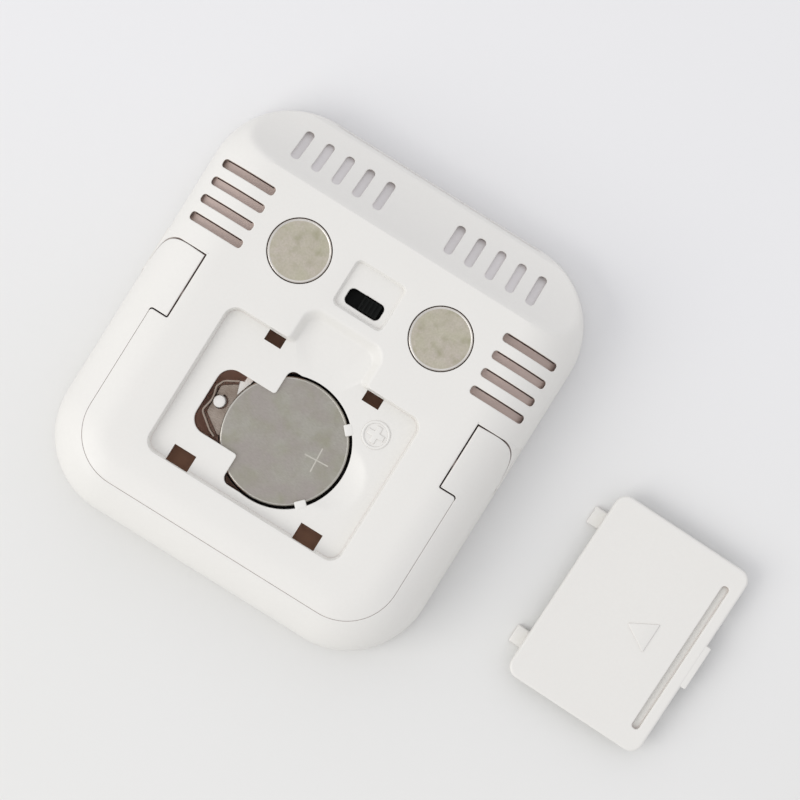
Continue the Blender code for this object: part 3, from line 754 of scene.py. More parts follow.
def rear_outer():
    """The back housing's outside as a closed skin, with every pocket, recess and vent sunk in it."""
    skin = Skin()
    outline, upper = silhouette()
    rim_low = BASE_Z + EDGE
    skin.stack([at(silhouette(gone)[0], BASE_Z + left) for left, gone in round_over(EDGE, 4)])
    skin.level([silhouette(EDGE)[0]], BASE_Z)

    # The edge of the curved top, in the flat map: rim, pocket ends and the line along the stand.
    grow = RIM_REACH + CURVE_Z - rim_low - CURVE_RUN
    rim = []
    for x, y in outline[:upper]:
        nx, ny = outward(x, y)[1]
        rim.append((x + nx * grow, y + ny * grow))
    line = core_line()
    shelf = (HALF_X - CURVE_RUN + RIM_REACH, POCKET_TOP_Y)
    end = resampled([(line[-1][0], POCKET_TOP_Y), shelf], 0.7, closed=False)[1:]
    left_end = [(-x, y) for x, y in reversed(end)]
    edge = rim + left_end + [unrolled(x, y) for x, y in line] + end
    start = len(rim) + len(end)
    stop = start + len(line)
    down = [Vector((0, 0, 0))] * len(rim)
    radii = [0.0] * len(rim)
    for i, (u, v) in enumerate(edge[len(rim) :], len(rim)):
        if start <= i < stop:
            down.append(Vector((0, 0, -1)))
            radii.append(seam_edge(v))
            continue
        reach, (nx, _) = outward(u, v)
        turn = min(max(reach, 0.0) / UNROLL, math.pi / 2)
        slope = Vector((CURVE_RISE * math.sin(turn) * nx, 0.0, CURVE_RUN * math.cos(turn)))
        down.append(-slope.normalized())
        radii.append(max(EDGE * min(1.0, (RIM_REACH - reach) / 1.5), 0.0))
    wall, top_loop = rounded_edge(skin, edge, down, radii)

    # Walls down to the shelf that the stand lies on, and the rooms for its hinge tabs.
    core_wall = wall[start:stop]
    turn_in = next(i for i, (x, y) in enumerate(line) if y < TAB_GAP_Y - SHOULDER_RADIUS + 1e-6)
    main = slice(turn_in, len(line) - turn_in)
    for part in (slice(0, turn_in + 1), main, slice(len(line) - turn_in - 1, len(line))):
        levels = (TAB_FLOOR, CURVE_Z) if part == main else (TAB_FLOOR,)
        skin.stack([core_wall[part], *[at(line[part], z) for z in levels]], closed=False)
    lower = outline[upper - 1 :] + outline[:1]
    shelf_loop = lower + [(CORE_X, POCKET_TOP_Y)] + line[main][::-1] + [(-CORE_X, POCKET_TOP_Y)]
    skin.level([shelf_loop], CURVE_Z)
    skin.wall(lower, rim_low, CURVE_Z, closed=False)
    for side in (-1, 1):
        part = line[: turn_in + 1] if side < 0 else line[len(line) - turn_in - 1 :]
        skin.level([part + [(side * CORE_X, POCKET_TOP_Y)]], TAB_FLOOR)
        step_y = part[-1][1] if side < 0 else part[0][1]
        step = [(side * CORE_X, y) for y in (step_y, POCKET_TOP_Y)]
        skin.wall(step, CURVE_Z, TAB_FLOOR, closed=False)
        first = len(rim) if side < 0 else stop
        ends = wall[first : first + len(end)]
        ends = ends + [core_wall[0]] if side < 0 else ([core_wall[-1]] + ends)[::-1]
        face = [(x, z) for x, y, z in ends]
        face += [(side * TAB_GAP_X, TAB_FLOOR), (side * CORE_X, TAB_FLOOR), (side * CORE_X, CURVE_Z)]
        skin.fill([face], lambda x, z: (x, POCKET_TOP_Y, z))

    # The surface between them, finer where it curves.
    loops = [top_loop]
    sink_features(skin, loops)
    sides = spread(loops, 1.1, (-42, -42), (42, 42))
    sides = [p for p in sides if outward(*p)[0] > -0.5 and p[1] < CREST_Y]
    crest = spread(loops, 0.6, (-42, CREST_Y), (42, 45))
    brink = []
    for u, v in rim:
        if v > CREST_Y:
            nx, ny = outward(u, v)[1]
            brink += [(u - nx * d, v - ny * d) for d in (0.3, 0.6, 0.9, 1.2, 1.55, 1.9, 2.3, 2.7)]
    crest = crest[clearance(crest, [rim]) > 3.0]
    middle = [p for p in spread(loops, 3.0, (-22, -26), (22, CREST_Y)) if outward(*p)[0] < -1.5]
    skin.fill(loops, on_form, np.concatenate([sides, crest, brink, middle]))
    return skin


def swing_wall(side):
    """The housing beyond a hinge tab: a hollow wall that follows the tab's swing."""
    skin = Skin()
    low = CURVE_Z - 0.3
    far = POCKET_TOP_Y + EDGE * 2.2
    sink = 0.004
    soft = 0.12
    first = math.asin((TAB_GAP_X - 0.03 - HALF_X + CURVE_RUN) / CURVE_RUN)
    rings = []
    for turn in np.linspace(first, math.pi / 2, 40):
        x = side * (HALF_X - CURVE_RUN + (CURVE_RUN - sink) * math.sin(turn))
        surface = CURVE_Z + CURVE_RISE * math.cos(turn) - sink
        rise = min(max(surface - soft - HINGE_Z, -TAB_REACH), 0.0)
        ring = [(far, low), (HINGE_Y - 1.6, low)]
        for swing in np.linspace(-math.pi / 2, math.asin(rise / TAB_REACH), 20):
            share = min(max(math.degrees(swing) / 14 + 3.6, 0.0), 1.0)
            reach = TAB_REACH + SWING_GAP + CORNER_GAP * share * share * (3 - 2 * share)
            ring.append((HINGE_Y + reach * math.cos(swing), HINGE_Z + reach * math.sin(swing)))
        wall, level = ring[-1]
        level = max(surface - soft, level)
        for bend in [math.radians(roll) for roll in (0, 30, 60, 90)]:
            ring.append((wall + soft * (1 - math.cos(bend)), level + soft * math.sin(bend)))
        ring.append((far, ring[-1][1] - 0.1))
        rings.append([(x, min(y, far), z) for y, z in ring])
    skin.stack(rings)
    skin.cap(rings[0], rings[-1])
    return skin.build(f"swing_wall_{side}", WHITE)


def vent_outline(x, y, radius):
    return resampled(rounded(x, y, radius, 5), 0.45)


def slit_floor(skin, outline, slit, floor, depth):
    """A vent's floor with a narrow slit in it; the floor carries the brownish painted shade of slot 2."""
    skin.stack([[(x, y, floor(x, y) - drop) for x, y in slit] for drop in (0, depth)], slot=1)
    skin.fill([slit], lambda x, y: (x, y, floor(x, y) - depth), slot=1)
    skin.fill([outline, slit], lambda x, y: (x, y, floor(x, y)), slot=2)


def recess_outline(share):
    """The battery recess with its finger notch, at its top (0) or its floor (1)."""
    half = 7.0 - 1.2 * share
    high = 9.4 - 1.5 * share
    corner = 2.5 - 0.5 * share
    corners = [(17.2, -22.45, 2.0), (17.2, 3.0, 2.0), (half, 3.0, 0.8), (half, high, corner)]
    return path(corners + [(-x, y, radius) for x, y, radius in reversed(corners)], 10)


def recess_level(x, y):
    """The recess floor's height, with the thumb dish in it."""
    away = min(math.hypot(x - DISH_X, y - DISH_Y), DISH_RADIUS - 0.01)
    dish = RECESS_FLOOR - DISH_DEPTH + DISH_RADIUS - math.sqrt(DISH_RADIUS**2 - away**2)
    return soft_min(RECESS_FLOOR, dish, 0.14)


def opening_outline():
    """The opening over the coin cell, with the contact's window to its left."""
    low = WELL_Y - WELL_FLAT_LOW
    high = WELL_Y + WELL_FLAT_HIGH
    start = math.degrees(math.atan2(-WELL_FLAT_LOW, -math.sqrt(WELL_RADIUS**2 - WELL_FLAT_LOW**2)))
    end = math.degrees(math.atan2(WELL_FLAT_HIGH, -math.sqrt(WELL_RADIUS**2 - WELL_FLAT_HIGH**2)))
    corners = [(x, y, 0) for x, y in arc(WELL_X, WELL_Y, WELL_RADIUS, start, end, 90)]
    corners += [(NUB_X, high, 1.2), (NUB_X, WINDOW_Y[1], 0.5), (WINDOW_LEFT, WINDOW_Y[1], 2.5)]
    corners += [(WINDOW_LEFT, WINDOW_Y[0], 2.5), (NUB_X, WINDOW_Y[0], 0.5), (NUB_X, low, 1.2)]
    return path(corners)


def plus_outline(x, y, reach, half):
    corners = [(reach, -half), (reach, half), (half, half), (half, reach), (-half, reach)]
    corners += [(-half, half), (-reach, half), (-reach, -half), (-half, -half)]
    corners += [(-half, -reach), (half, -reach), (half, -half)]
    return [(x + a, y + b) for a, b in corners]


def sink_features(skin, loops):
    """Sinks each hollow of the back in its skin and adds its rim to the loops of the flat map."""

    def rim(points):
        loops.append([unrolled(x, y) for x, y in points])

    for side in (-1, 1):
        ring = circle(side * MAGNET_X, MAGNET_Y, POCKET_RADIUS)
        outer, floor = pocket(skin, ring, 0.12, lambda x, y: POCKET_FLOOR, foot=0.2)
        skin.level([floor], POCKET_FLOOR)
        rim(outer)
        for y, deep in zip(SIDE_VENT_Y, SIDE_VENT_DEPTH):
            x = span(side, *SIDE_VENT_X)
            high = y + SIDE_VENT_WIDTH / 2
            ring = vent_outline(x, (y - SIDE_VENT_WIDTH / 2, high), 0.55)
            slit = vent_outline((x[0] + 0.5, x[1] - 0.5), (high - 0.22, high - 0.04), 0.08)
            sunk = lambda px, py: form_height(px, py) - deep
            outer, floor = pocket(skin, ring, 0.16, sunk)
            slit_floor(skin, floor, slit, sunk, 3.0)
            rim(outer)
        for i, centre in enumerate(TOP_VENT_X):
            deep = 0.75 if i in (2, 3) else 0.95
            half = TOP_VENT_WIDTH / 2
            ring = vent_outline((side * centre - half, side * centre + half), TOP_VENT_Y, 0.6)
            sunk = lambda px, py: form_height(px, py) - deep
            outer, floor = pocket(skin, ring, 0.18, sunk)
            # The floor carries the grey painted shade of slot 3.
            skin.fill([floor], lambda px, py: (px, py, sunk(px, py)), slot=3)
            rim(outer)

    switch = rounded((-4.35, 4.35), (11.25, 19.05), 0.9)
    outer, floor = soft_wall(skin, lambda share: switch, SWITCH_FLOOR, 0.22, 0.25)
    rim(outer)
    slot = rounded((-SLOT_X, SLOT_X), SLOT_Y, 0.85)
    slot_rim, slot_floor = pocket(skin, slot, 0.16, lambda x, y: SLOT_FLOOR, lambda x, y: SWITCH_FLOOR)
    skin.level([slot_floor], SLOT_FLOOR)
    skin.level([floor, slot_rim], SWITCH_FLOOR)

    outer, floor = soft_wall(skin, recess_outline, RECESS_FLOOR, 0.28, 0.16)
    rim(outer)
    opening, last = pocket(skin, opening_outline(), 0.14, lambda x, y: OPENING_FOOT, recess_level)
    # The opening's floor carries the inner brown painted shade of slot 1.
    skin.level([last], OPENING_FOOT, slot=1)
    ring = circle(MARK_X, MARK_Y, 2.27, 48)
    inner = circle(MARK_X, MARK_Y, 1.8, 48)
    plus = plus_outline(MARK_X, MARK_Y, 1.42, 0.45)
    high = RECESS_FLOOR + MARK_RISE
    marks = [boss(skin, edge, RECESS_FLOOR, MARK_RISE, way, 0.2) for edge, way in ((ring, 1), (inner, -1))]
    skin.level(marks, high)
    skin.level([inner, plus], RECESS_FLOOR)
    skin.level([boss(skin, plus, RECESS_FLOOR, MARK_RISE, 1, 0.17)], high)
    floor_loops = [floor, opening, ring]
    dish = spread(floor_loops, 0.42, (3.2, -17.6), (15.6, -5.0))
    away = np.hypot(dish[:, 0] - DISH_X, dish[:, 1] - DISH_Y)
    skin.fill(floor_loops, lambda x, y: (x, y, recess_level(x, y)), dish[away < 6.3])


def prism(name, outline, low, high=20.0, finish=INNER_SHADE_BROWN):
    return extruded(name, outline, low, high, finish)


def block(name, x, y, *rest):
    return prism(name, [(x[0], y[0]), (x[1], y[0]), (x[1], y[1]), (x[0], y[1])], *rest)


def cavity():
    """The hollow inside the back housing, with each wall and boss that stands in it left out."""
    skin = Skin()
    rings = []
    for k in range(-1, 10):
        turn = math.radians(max(k, 0) * 10)
        run = CURVE_RUN - (CURVE_RUN - WALL) * math.cos(turn)
        level = 3.0 if k < 0 else CURVE_Z + (CURVE_RISE - WALL) * math.sin(turn)
        x, y = HALF_X - run, HALF_Y - run
        rings.append(at(rounded((-x, x), (-y, y), CORNER - run, 6), level))
    skin.stack(rings)
    for ring in (rings[0], rings[-1]):
        skin.level([[point[:2] for point in ring]], ring[0][2])
    # The cavity's faces take painted shade: inner brown, and near-black for the well.
    room = skin.build("cavity", INNER_SHADE_BROWN, WELL_PAINTED_SHADE, WHITE, SHELF)

    outside = block("stand_wall", (-45, 45), (-45, POCKET_TOP_Y + 1.3), 4.2)
    core = rounded((1.3 - CORE_X, CORE_X - 1.3), (CORE_Y + 1.3, 30.0), CORE_CORNER - 1.3)
    applied(outside, ("DIFFERENCE", prism("core", core, 0.0, 25.0)))
    bar = circle(SCOOP_Y, SCOOP_Z, SCOOP_RADIUS + WALL, 64)
    takes = [side_extruded("scoop_wall", bar, (-40.0, 40.0), INNER_SHADE_BROWN), outside]
    takes += [block(f"heel_{side}", span(side, 23.1, 30), (-5.4, 8.6), 5.6) for side in (-1, 1)]
    window_y = (WINDOW_Y[0] - 1.1, WINDOW_Y[1] + 1.1)
    takes += [
        block("recess_plate", (-18.6, 18.6), (-23.85, 4.4), RECESS_UNDER),
        block("notch_wall", (-8.3, 8.3), (0.0, 10.7), RECESS_UNDER),
        block("switch_wall", (-6.0, 6.0), (9.9, 20.4), 13.8),
        prism("thumb_wall", circle(DISH_X, DISH_Y, 6.3, 32), 12.0),
        prism("well_wall", circle(WELL_X, WELL_Y, WELL_RADIUS + 1.2, 48), 7.9),
        block("window_wall", (WINDOW_LEFT - 1.1, 0.0), window_y, 7.9),
        block("corner_wall", (NUB_X - 1.2, 1.0), (WELL_Y - 11.4, WELL_Y + 11.2), 7.9),
    ]
    for side in (-1, 1):
        takes += [
            block(f"hook_shelf_{side}", span(side, 6.0, 11.6), (-0.6, 4.4), 9.0, 10.1, SHELF),
            block(f"foot_shelf_{side}", span(side, 8.2, 14.6), (-23.85, -18.2), 9.0, 10.1, SHELF),
            prism(f"magnet_wall_{side}", circle(side * MAGNET_X, MAGNET_Y, 6.4, 32), 12.7),
            block(f"vent_wall_{side}", span(side, 19.6, 32.0), (9.9, 22.4), 8.5),
        ]
        takes += [prism(f"screw_wall_{y}", circle(side * x, y, 2.2, 20), 7.9) for x, y in SCREW_SPOTS]
    applied(room, *[("DIFFERENCE", tool) for tool in takes])

    more = []
    pin = circle(HINGE_Y, HINGE_Z, 1.12, 24)
    for side in (-1, 1):
        hook, foot = side * HOOK_X, side * FOOT_X
        more += [
            side_extruded(f"pin_hole_{side}", pin, span(side, TAB_INNER_X - 2.3, TAB_INNER_X), INNER_SHADE_BROWN),
            block(f"upper_catch_{side}", span(side, 29.0, 31.6), (13.7, 19.3), 5.8, 7.3),
            block(f"lower_catch_{side}", span(side, 24.0, 26.6), (-18.3, -12.7), 6.8, 8.3),
        ]
        more += [prism(f"bore_{y}", circle(side * x, y, 0.95, 16), 7.0, 12.5) for x, y in SCREW_SPOTS]
        more += [
            block(f"hook_hole_{side}", (hook - 1.475, hook + 1.475), (1.0, 2.8), 12.9, 15.4, WHITE),
            block(f"foot_hole_{side}", (foot - 1.925, foot + 1.925), (-22.65, -19.8), 12.9, 15.4, WHITE),
        ]
    under = [point for point in circle(WELL_X, WELL_Y, WELL_RADIUS + 0.1) if point[0] < NUB_X + 0.4]
    window = rounded((WINDOW_LEFT - 0.1, -2.0), (WINDOW_Y[0] - 0.1, WINDOW_Y[1] + 0.1), 2.5)
    corner_y = (WELL_Y - WELL_FLAT_LOW - 0.1, WELL_Y + WELL_FLAT_HIGH + 0.1)
    more += [
        block("leg_slot", (-12.4, -10.9), (-12.3, -9.3), 7.0, 10.0),
        block("minus_slot", (4.6, 7.6), (-11.6, -9.6), 7.0, 10.0),
        prism("nub_room", under, WELL_FLOOR + 0.1, WELL_ROOF),
        # The well's walls carry the near-black painted shade.
        prism("well", circle(WELL_X, WELL_Y, WELL_RADIUS + 0.15), WELL_FLOOR, 12.9, WELL_PAINTED_SHADE),
        prism("window", window, WELL_FLOOR, WELL_ROOF),
        prism("corner", rounded((NUB_X - 0.1, 2.0), corner_y, 1.2), 9.1, 13.6),
    ]
    return applied(room, *[("UNION", tool) for tool in more])


def small_fittings(housing):
    """Two small clips that hold the cell down on its right, and the peg in the contact's plate."""
    x, y, radius = PEG
    profile = [(0, 8.6), (radius - 0.01, 8.6), (radius, 12.7), (radius - 0.08, 12.9)]
    profile += [(radius - 0.28, 13.0), (0, 13.0)]
    high = WINDOW_Y[1] + 0.3
    ledge = [(-9.4, high), (-8.3, high), (-8.45, -6.0), (-8.72, -6.6)]
    ledge += [(-9.33, -8.5), (-10.05, -6.4), (-9.4, -6.2)]
    peg = turned("peg", profile, x, y, WHITE, steps=48)
    applied(housing, ("UNION", peg), ("UNION", prism("ledge", ledge, 12.0, 12.3, WHITE)))
    for i, (x, y) in enumerate(((8.0, -4.1), (7.8, -17.5))):
        clip = rounded_box(f"clip_{i}", (-0.5, 0.85), (-0.9, 0.9), (13.65, 14.34), 0.18, WHITE)
        clip.rotation_euler = (0, 0, math.atan2(y - WELL_Y, x - WELL_X))
        clip.location = (x * MM, y * MM, 0)
        applied(housing, ("UNION", clip))


# The stand and the front housing


def stand_skin():
    """The stand's U-shaped rim, with its arms left long."""
    skin = Skin()
    reach = UNROLL * math.acos((STAND_UNDER - CURVE_Z) / CURVE_RISE)
    radius = CORNER - CURVE_RUN + reach
    rim = [(-CENTRE_X - radius, ARM_END)]
    rim += arc(-CENTRE_X, -CENTRE_Y, radius, 180, 270, 44)
    rim += arc(CENTRE_X, -CENTRE_Y, radius, 270, 360, 44)
    rim = resampled(rim + [(CENTRE_X + radius, ARM_END)], 1.0, closed=False)
    inner = stand_inner(ARM_END)[::-1]
    across = resampled([rim[-1], unrolled(*inner[0])], 0.7, closed=False)[1:-1]
    back = [(-x, y) for x, y in reversed(across)]
    edge = rim + across + [unrolled(x, y) for x, y in inner] + back
    start = len(rim) + len(across)
    stop = start + len(inner)
    down = []
    radii = []
    for i, (u, v) in enumerate(edge):
        way, size = (0, 0, -1), 0.0
        if 0 < i < len(rim) - 1:
            nx, ny = outward(u, v)[1]
            way, size = (-nx, -ny, 0), 0.15
        elif start < i < stop - 1:
            size = seam_edge(v)
        down.append(Vector(way))
        radii.append(size)
    wall, top_loop = rounded_edge(skin, edge, down, radii)
    skin.stack([wall[start:stop], at(inner, STAND_UNDER)], closed=False)
    skin.level([[point[:2] for point in wall[: len(rim)]] + inner], STAND_UNDER)
    right = [(x, z) for x, y, z in wall[len(rim) - 1 : start + 1]]
    left = [(x, z) for x, y, z in wall[stop - 1 :] + wall[:1]]
    for face in (right + [(right[-1][0], STAND_UNDER)], [(left[0][0], STAND_UNDER)] + left):
        skin.fill([face], lambda x, z: (x, ARM_END, z))
    skin.fill([top_loop], on_form, spread([top_loop], 0.95, (-42, -45), (42, 9)))
    return skin.build("stand_frame", WHITE)


def arm_profile():
    """A solid round the stand's arms whose upper ends follow the hinge's arc and have soft edges."""
    skin = Skin()
    first = math.asin((24.0 - HALF_X + CURVE_RUN) / CURVE_RUN)
    slices = [(HALF_X - CURVE_RUN) + CURVE_RUN * math.sin(t) for t in np.linspace(first, 1.57, 34)]
    slices.append(HALF_X + 1.0)
    rings = []
    for x in [-x for x in reversed(slices)] + slices:
        surface = form_height(min(abs(x), HALF_X - 0.001), POCKET_TOP_Y)
        rise = max(min(surface - EDGE - HINGE_Z, TAB_REACH - 0.1), 0.05 - TAB_REACH)
        outline = [(-45.0, 3.0), (HINGE_Y - 4.59, 3.0)]
        for turn in np.linspace(-math.pi / 2, math.asin(rise / TAB_REACH), 24):
            outline.append((HINGE_Y + TAB_REACH * math.cos(turn), HINGE_Z + TAB_REACH * math.sin(turn)))
        wall_y, wall_z = outline[-1]
        for turn in [math.radians(degrees) for degrees in (20, 38, 56, 74)]:
            outline.append((wall_y - EDGE * (1 - math.cos(turn)), wall_z + EDGE * math.sin(turn)))
        outline += [(outline[-1][0], 22.0), (-45.0, 22.0)]
        rings.append([(x, y, z) for y, z in outline])
    skin.stack(rings)
    skin.cap(rings[0], rings[-1])
    return skin.build("arm_profile", WHITE)


def stand():
    """The fold-out stand with its hinge tabs and pins."""
    frame_piece = stand_skin()
    steps = [("INTERSECT", arm_profile())]
    low = HINGE_Z - TAB_SHOULDER
    heel = [(-5.5, 4.0), (10.0, 4.0), (10.0, low), (HINGE_Y, low)]
    heel += arc(HINGE_Y, HINGE_Z, TAB_SHOULDER, 270, 180, 12)[1:] + [(-5.5, HINGE_Z)]
    pin = circle(HINGE_Y, HINGE_Z, 1.0, 40)
    rooms = ("heel_room", heel, (24.0, STAND_INNER_X), "DIFFERENCE")
    pins = ("pin", pin, (TAB_INNER_X - 2.0, TAB_INNER_X + 0.5), "UNION")
    for name, outline, x, operation in (rooms, pins):
        for side in (-1, 1):
            steps.append((operation, side_extruded(f"{name}_{side}", outline, span(side, *x), WHITE)))
    return applied(frame_piece, *steps)


def body_line(inset):
    x = FRONT_HIGH_CORNER[0] - inset
    y = FRONT_HIGH_CORNER[1] - inset
    return rounded((-x, x), (-y, y), 13.9 - inset, 28)


def front_housing():
    """The front housing: a rounded bezel with a seat for the lens and a window for the display."""
    skin = Skin()
    top = 4.0
    soft = 1.4
    lip = 0.15
    lean = 0.34
    seat_z = 1.5
    under_z = 2.3
    rings = [at(body_line(left), gone) for left, gone in round_over(soft, 8)]
    for k, (_, gone) in enumerate(round_over(lean, 8)[1:], 1):
        rings.append(at(body_line(gone), soft + (top - lip - soft) * k / 8))
    rings += [at(body_line(lean + gone), top - left) for left, gone in round_over(lip, 3)[1:]]
    inside_line = body_line(1.8)
    skin.stack(rings + [at(inside_line, top), at(inside_line, under_z)])
    seat_x = LENS_HIGH[0] + 0.3
    seat_y = LENS_HIGH[1] + 0.3
    seat = rounded((-seat_x, seat_x), (-seat_y, seat_y), 7.8, 16)
    rim = [at(offset(seat, grow), drop) for grow, drop in lip_steps(lip)]
    skin.stack(rim + [at(seat, seat_z)])
    skin.level([body_line(soft), offset(seat, lip * 1.5)], 0.0)
    window = rounded((-23.0, 23.0), (-25.9, 25.9), 4.0, 10)
    skin.level([seat, window], seat_z)
    skin.wall(window, seat_z, under_z)
    skin.level([inside_line, window], under_z)
    posts = []
    for side in (-1, 1):
        for x, y, barb in ((30.5, (14.0, 19.0), 6.2), (25.5, (-18.0, -13.0), 7.2)):
            posts += [
                (f"post_{side}", span(side, x - 1.0, x), y, (1.9, barb + 0.9), 0.2),
                (f"barb_{side}", span(side, x - 0.5, x + 0.8), y, (barb, barb + 0.8), 0.2),
            ]
    return applied(skin.build("front_frame", WHITE), *unions(WHITE, *posts))


# The cover, cell, magnets, knob and contact


def battery_cover():
    """The loose battery cover, made flat at the origin and then put in its place."""
    skin = Skin()
    low = 2.3
    high = 3.7
    edge_y = 12.25

    def line(inset):
        x, y = 16.85 - inset, edge_y - inset
        return rounded((-x, x), (-y, y), 2.0 - inset, 12)

    rings = [at(line(left), low + gone) for left, gone in round_over(0.15, 3)]
    rings += [at(line(gone), high - left) for left, gone in round_over(0.4, 6)]
    top = line(0.6)
    skin.stack(rings + [at(top, high)])
    slot_y = edge_y - 2.55
    slot = rounded((-13.3, 13.3), (slot_y - 0.65, slot_y + 0.65), 0.6)
    bed = low + 0.35
    walls = [at(offset(slot, grow), high - drop) for grow, drop in lip_steps(0.18)]
    skin.stack(walls + [at(slot, bed)])
    skin.level([slot], bed)
    arrow = path([(-2.6, 4.2, 0.15), (0.0, -0.3, 0.15), (2.6, 4.2, 0.15)], 4)
    skin.level([top, offset(slot, 0.18 * 1.5), arrow], high)
    skin.level([boss(skin, arrow, high, 0.2, soft=0.14)], high + 0.2)
    skin.level([line(0.15)], low)
    lugs = [("latch_tab", (-3.8, 3.8), (edge_y - 1.0, edge_y + 0.8), (low + 0.2, high - 0.06), 0.22)]
    for side in (-1, 1):
        a, b = side * 11.2 - 1.5, side * 11.2 + 1.5
        c, d = side * HOOK_X - 1.2, side * HOOK_X + 1.2
        lugs += [
            (f"toe_{side}", (a, b), (-edge_y - 1.9, -edge_y + 1.4), (0.0, 0.9), 0.25),
            (f"shin_{side}", (a + 0.01, b - 0.01), (-edge_y + 0.3, -edge_y + 1.38), (0.02, 2.6), 0.2),
            (f"hook_{side}", (c, d), (edge_y - 1.5, edge_y - 0.5), (0.02, 2.6), 0.2),
            (f"barb_{side}", (c + 0.01, d - 0.01), (edge_y - 1.48, edge_y + 0.3), (0.0, 0.7), 0.2),
        ]
    cover = applied(skin.build("cover_plate", WHITE), *unions(WHITE, *lugs))
    cover.rotation_euler = (0, 0, math.radians(-91.4))
    bpy.context.view_layer.update()
    spots = np.array([cover.matrix_world.to_3x3() @ vert.co for vert in cover.data.vertices])
    own = (spots.min(0) + spots.max(0)) / 2
    middle = [(a + b) / 2 * MM for a, b in zip(COVER_LOW, COVER_HIGH)]
    cover.location = (middle[0] - own[0], middle[1] - own[1], 0)
    return cover


def coin_can():
    """The cell's can: a pressed cup, open below, with a plus etched in its face."""
    skin = Skin()
    high = CELL_HIGH[2]
    low = 10.5
    shoulder = 0.32
    face = CELL_RADIUS - shoulder - 0.04
    wall = [(9.7, low), (9.85, low - 0.02), (CELL_RADIUS, low + 0.12), (CELL_RADIUS, high - shoulder)]
    bend = [(CELL_RADIUS - gone, high - left) for left, gone in round_over(shoulder, 8)]
    for profile, slot in ((wall, 0), (bend + [(face, high - 0.02)], 2)):
        skin.stack([at(circle(CELL_X, CELL_Y, radius, 128), z) for radius, z in profile], slot)
    inner = circle(CELL_X, CELL_Y, 9.7, 128)
    skin.wall(inner, low, high - 0.3)
    skin.level([inner], high - 0.3)
    cos, sin = math.cos(math.radians(3.5)), math.sin(math.radians(3.5))
    plus = plus_outline(0.0, 0.0, 2.05, 0.11)
    plus = [(6.35 + x * cos - y * sin, -10.55 + x * sin + y * cos) for x, y in plus]
    skin.wall(plus, high - 0.015, high - 0.04, slot=1)
    skin.level([plus], high - 0.04, slot=1)
    edge = circle(CELL_X, CELL_Y, face, 128)
    skin.wall(edge, high - 0.02, high - 0.015)
    skin.level([edge, plus], high - 0.015)
    return skin.build("coin_can", CELL_FACE, ETCHED, CELL_RIM, sharp=50.0)


def magnet(side):
    low = MAGNET_LOW[2]
    high = MAGNET_HIGH[2]
    # Each row is how far in from the edge, a level, and the finish of the strip that follows.
    edge = [(0.2, low, 0), (0.06, low + 0.06, 0), (0.0, low + 0.2, 0), (0.0, high - 0.2, 1)]
    edge += [(0.04, high - 0.1, 1), (0.1, high - 0.04, 1), (0.17, high, 1), (0.26, high - 0.01, 1)]
    edge += [(0.32, high - 0.05, 1), (0.38, high - 0.05, 0)]
    profile = [(0, low), *[(MAGNET_RADIUS - inward, z) for inward, z, _ in edge]]
    profile += [(radius, high - 0.05) for radius in (3.0, 1.5, 0)]
    slots = [0, *[slot for _, _, slot in edge], 0, 0]
    name = "magnet_disc_right" if side > 0 else "magnet_disc_left"
    finishes = (MAGNET_FACE, POLISHED)
    return turned(name, profile, side * MAGNET_X, MAGNET_Y, *finishes, steps=128, slots=slots)


def knob():
    """The slide switch's knob, with its ribbed grip."""
    y = (SLOT_Y[0] + SLOT_Y[1]) / 2
    x = 1.0
    base = rounded_box("switch_grip", (x - 4.1, x + 5.1), (y - 1.9, y + 1.9), (12.6, 13.3), 0.12, BLACK)
    rows = [("grip", (x - 1.5, x + 1.5), (y - 1.15, y + 1.15), (13.0, 15.2), 0.15)]
    for i in range(5):
        rib = x - 1.4 + 0.7 * i
        rows.append((f"rib_{i}", (rib - 0.17, rib + 0.17), (y - 1.1, y + 1.1), (14.8, 15.48), 0.12))
    rows.append(("stem", (x - 0.7, x + 0.7), (y - 0.6, y + 0.6), (10.3, 12.8), 0.1))
    return applied(base, *unions(BLACK, *rows))


def side_contact():
    """The contact beside the cell: a plate, a bowed leaf and a leg down to the board."""
    corners = [(-12.3, -8.6, 0.6), (-12.1, -13.2, 0.5), (-11.1, -13.9, 0.5), (-8.9, -15.4, 0.4)]
    corners += [(x, y, 0) for x, y in arc(CELL_X, CELL_Y, CELL_RADIUS - 0.05, 208, 155, 16)]
    corners += [(-9.6, -6.9, 0.6), (-10.6, -7.4, 0.6)]
    outline = path(corners, 5)
    hole = circle(PEG[0], PEG[1], 1.2, 40)
    skin = Skin()
    for level in (9.3, 9.55):
        skin.level([outline, hole], level)
    for loop in (outline, hole):
        skin.wall(loop, 9.3, 9.55)
    plate = skin.build("side_contact", CONTACT)
    line = [(-10.1, -6.5, 0), (-12.2, -7.7, 1.4), (-12.75, -9.0, 0.8), (-12.2, -10.9, 3.0)]
    line += [(-12.7, -13.3, 0.8), (-10.1, -15.3, 2.0), (-9.0, -15.8, 0)]
    bends = np.array(path(line))
    onward = np.gradient(bends, axis=0)
    onward /= np.linalg.norm(onward, axis=1)[:, None]
    aside = np.stack([onward[:, 1], -onward[:, 0]], 1) * 0.12
    leaf = prism("leaf", [tuple(p) for p in (*(bends + aside), *(bends - aside)[::-1])], 9.4, 12.6, CONTACT)
    leg = rounded_box("leg", (-12.0, -11.2), (-12.0, -9.6), (7.64, 9.4), 0.05, CONTACT)
    return applied(plate, ("UNION", leaf), ("UNION", leg))


# The object put together


def show(piece, body, slot_name, *nodes):
    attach(piece, body)
    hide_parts(*nodes)


def keep(names, finish):
    """Gives CAD nodes that are shown as they are a finish."""
    for name in names:
        mesh = frame["nodes"][name].data
        mesh.materials.clear()
        mesh.materials.append(finish)


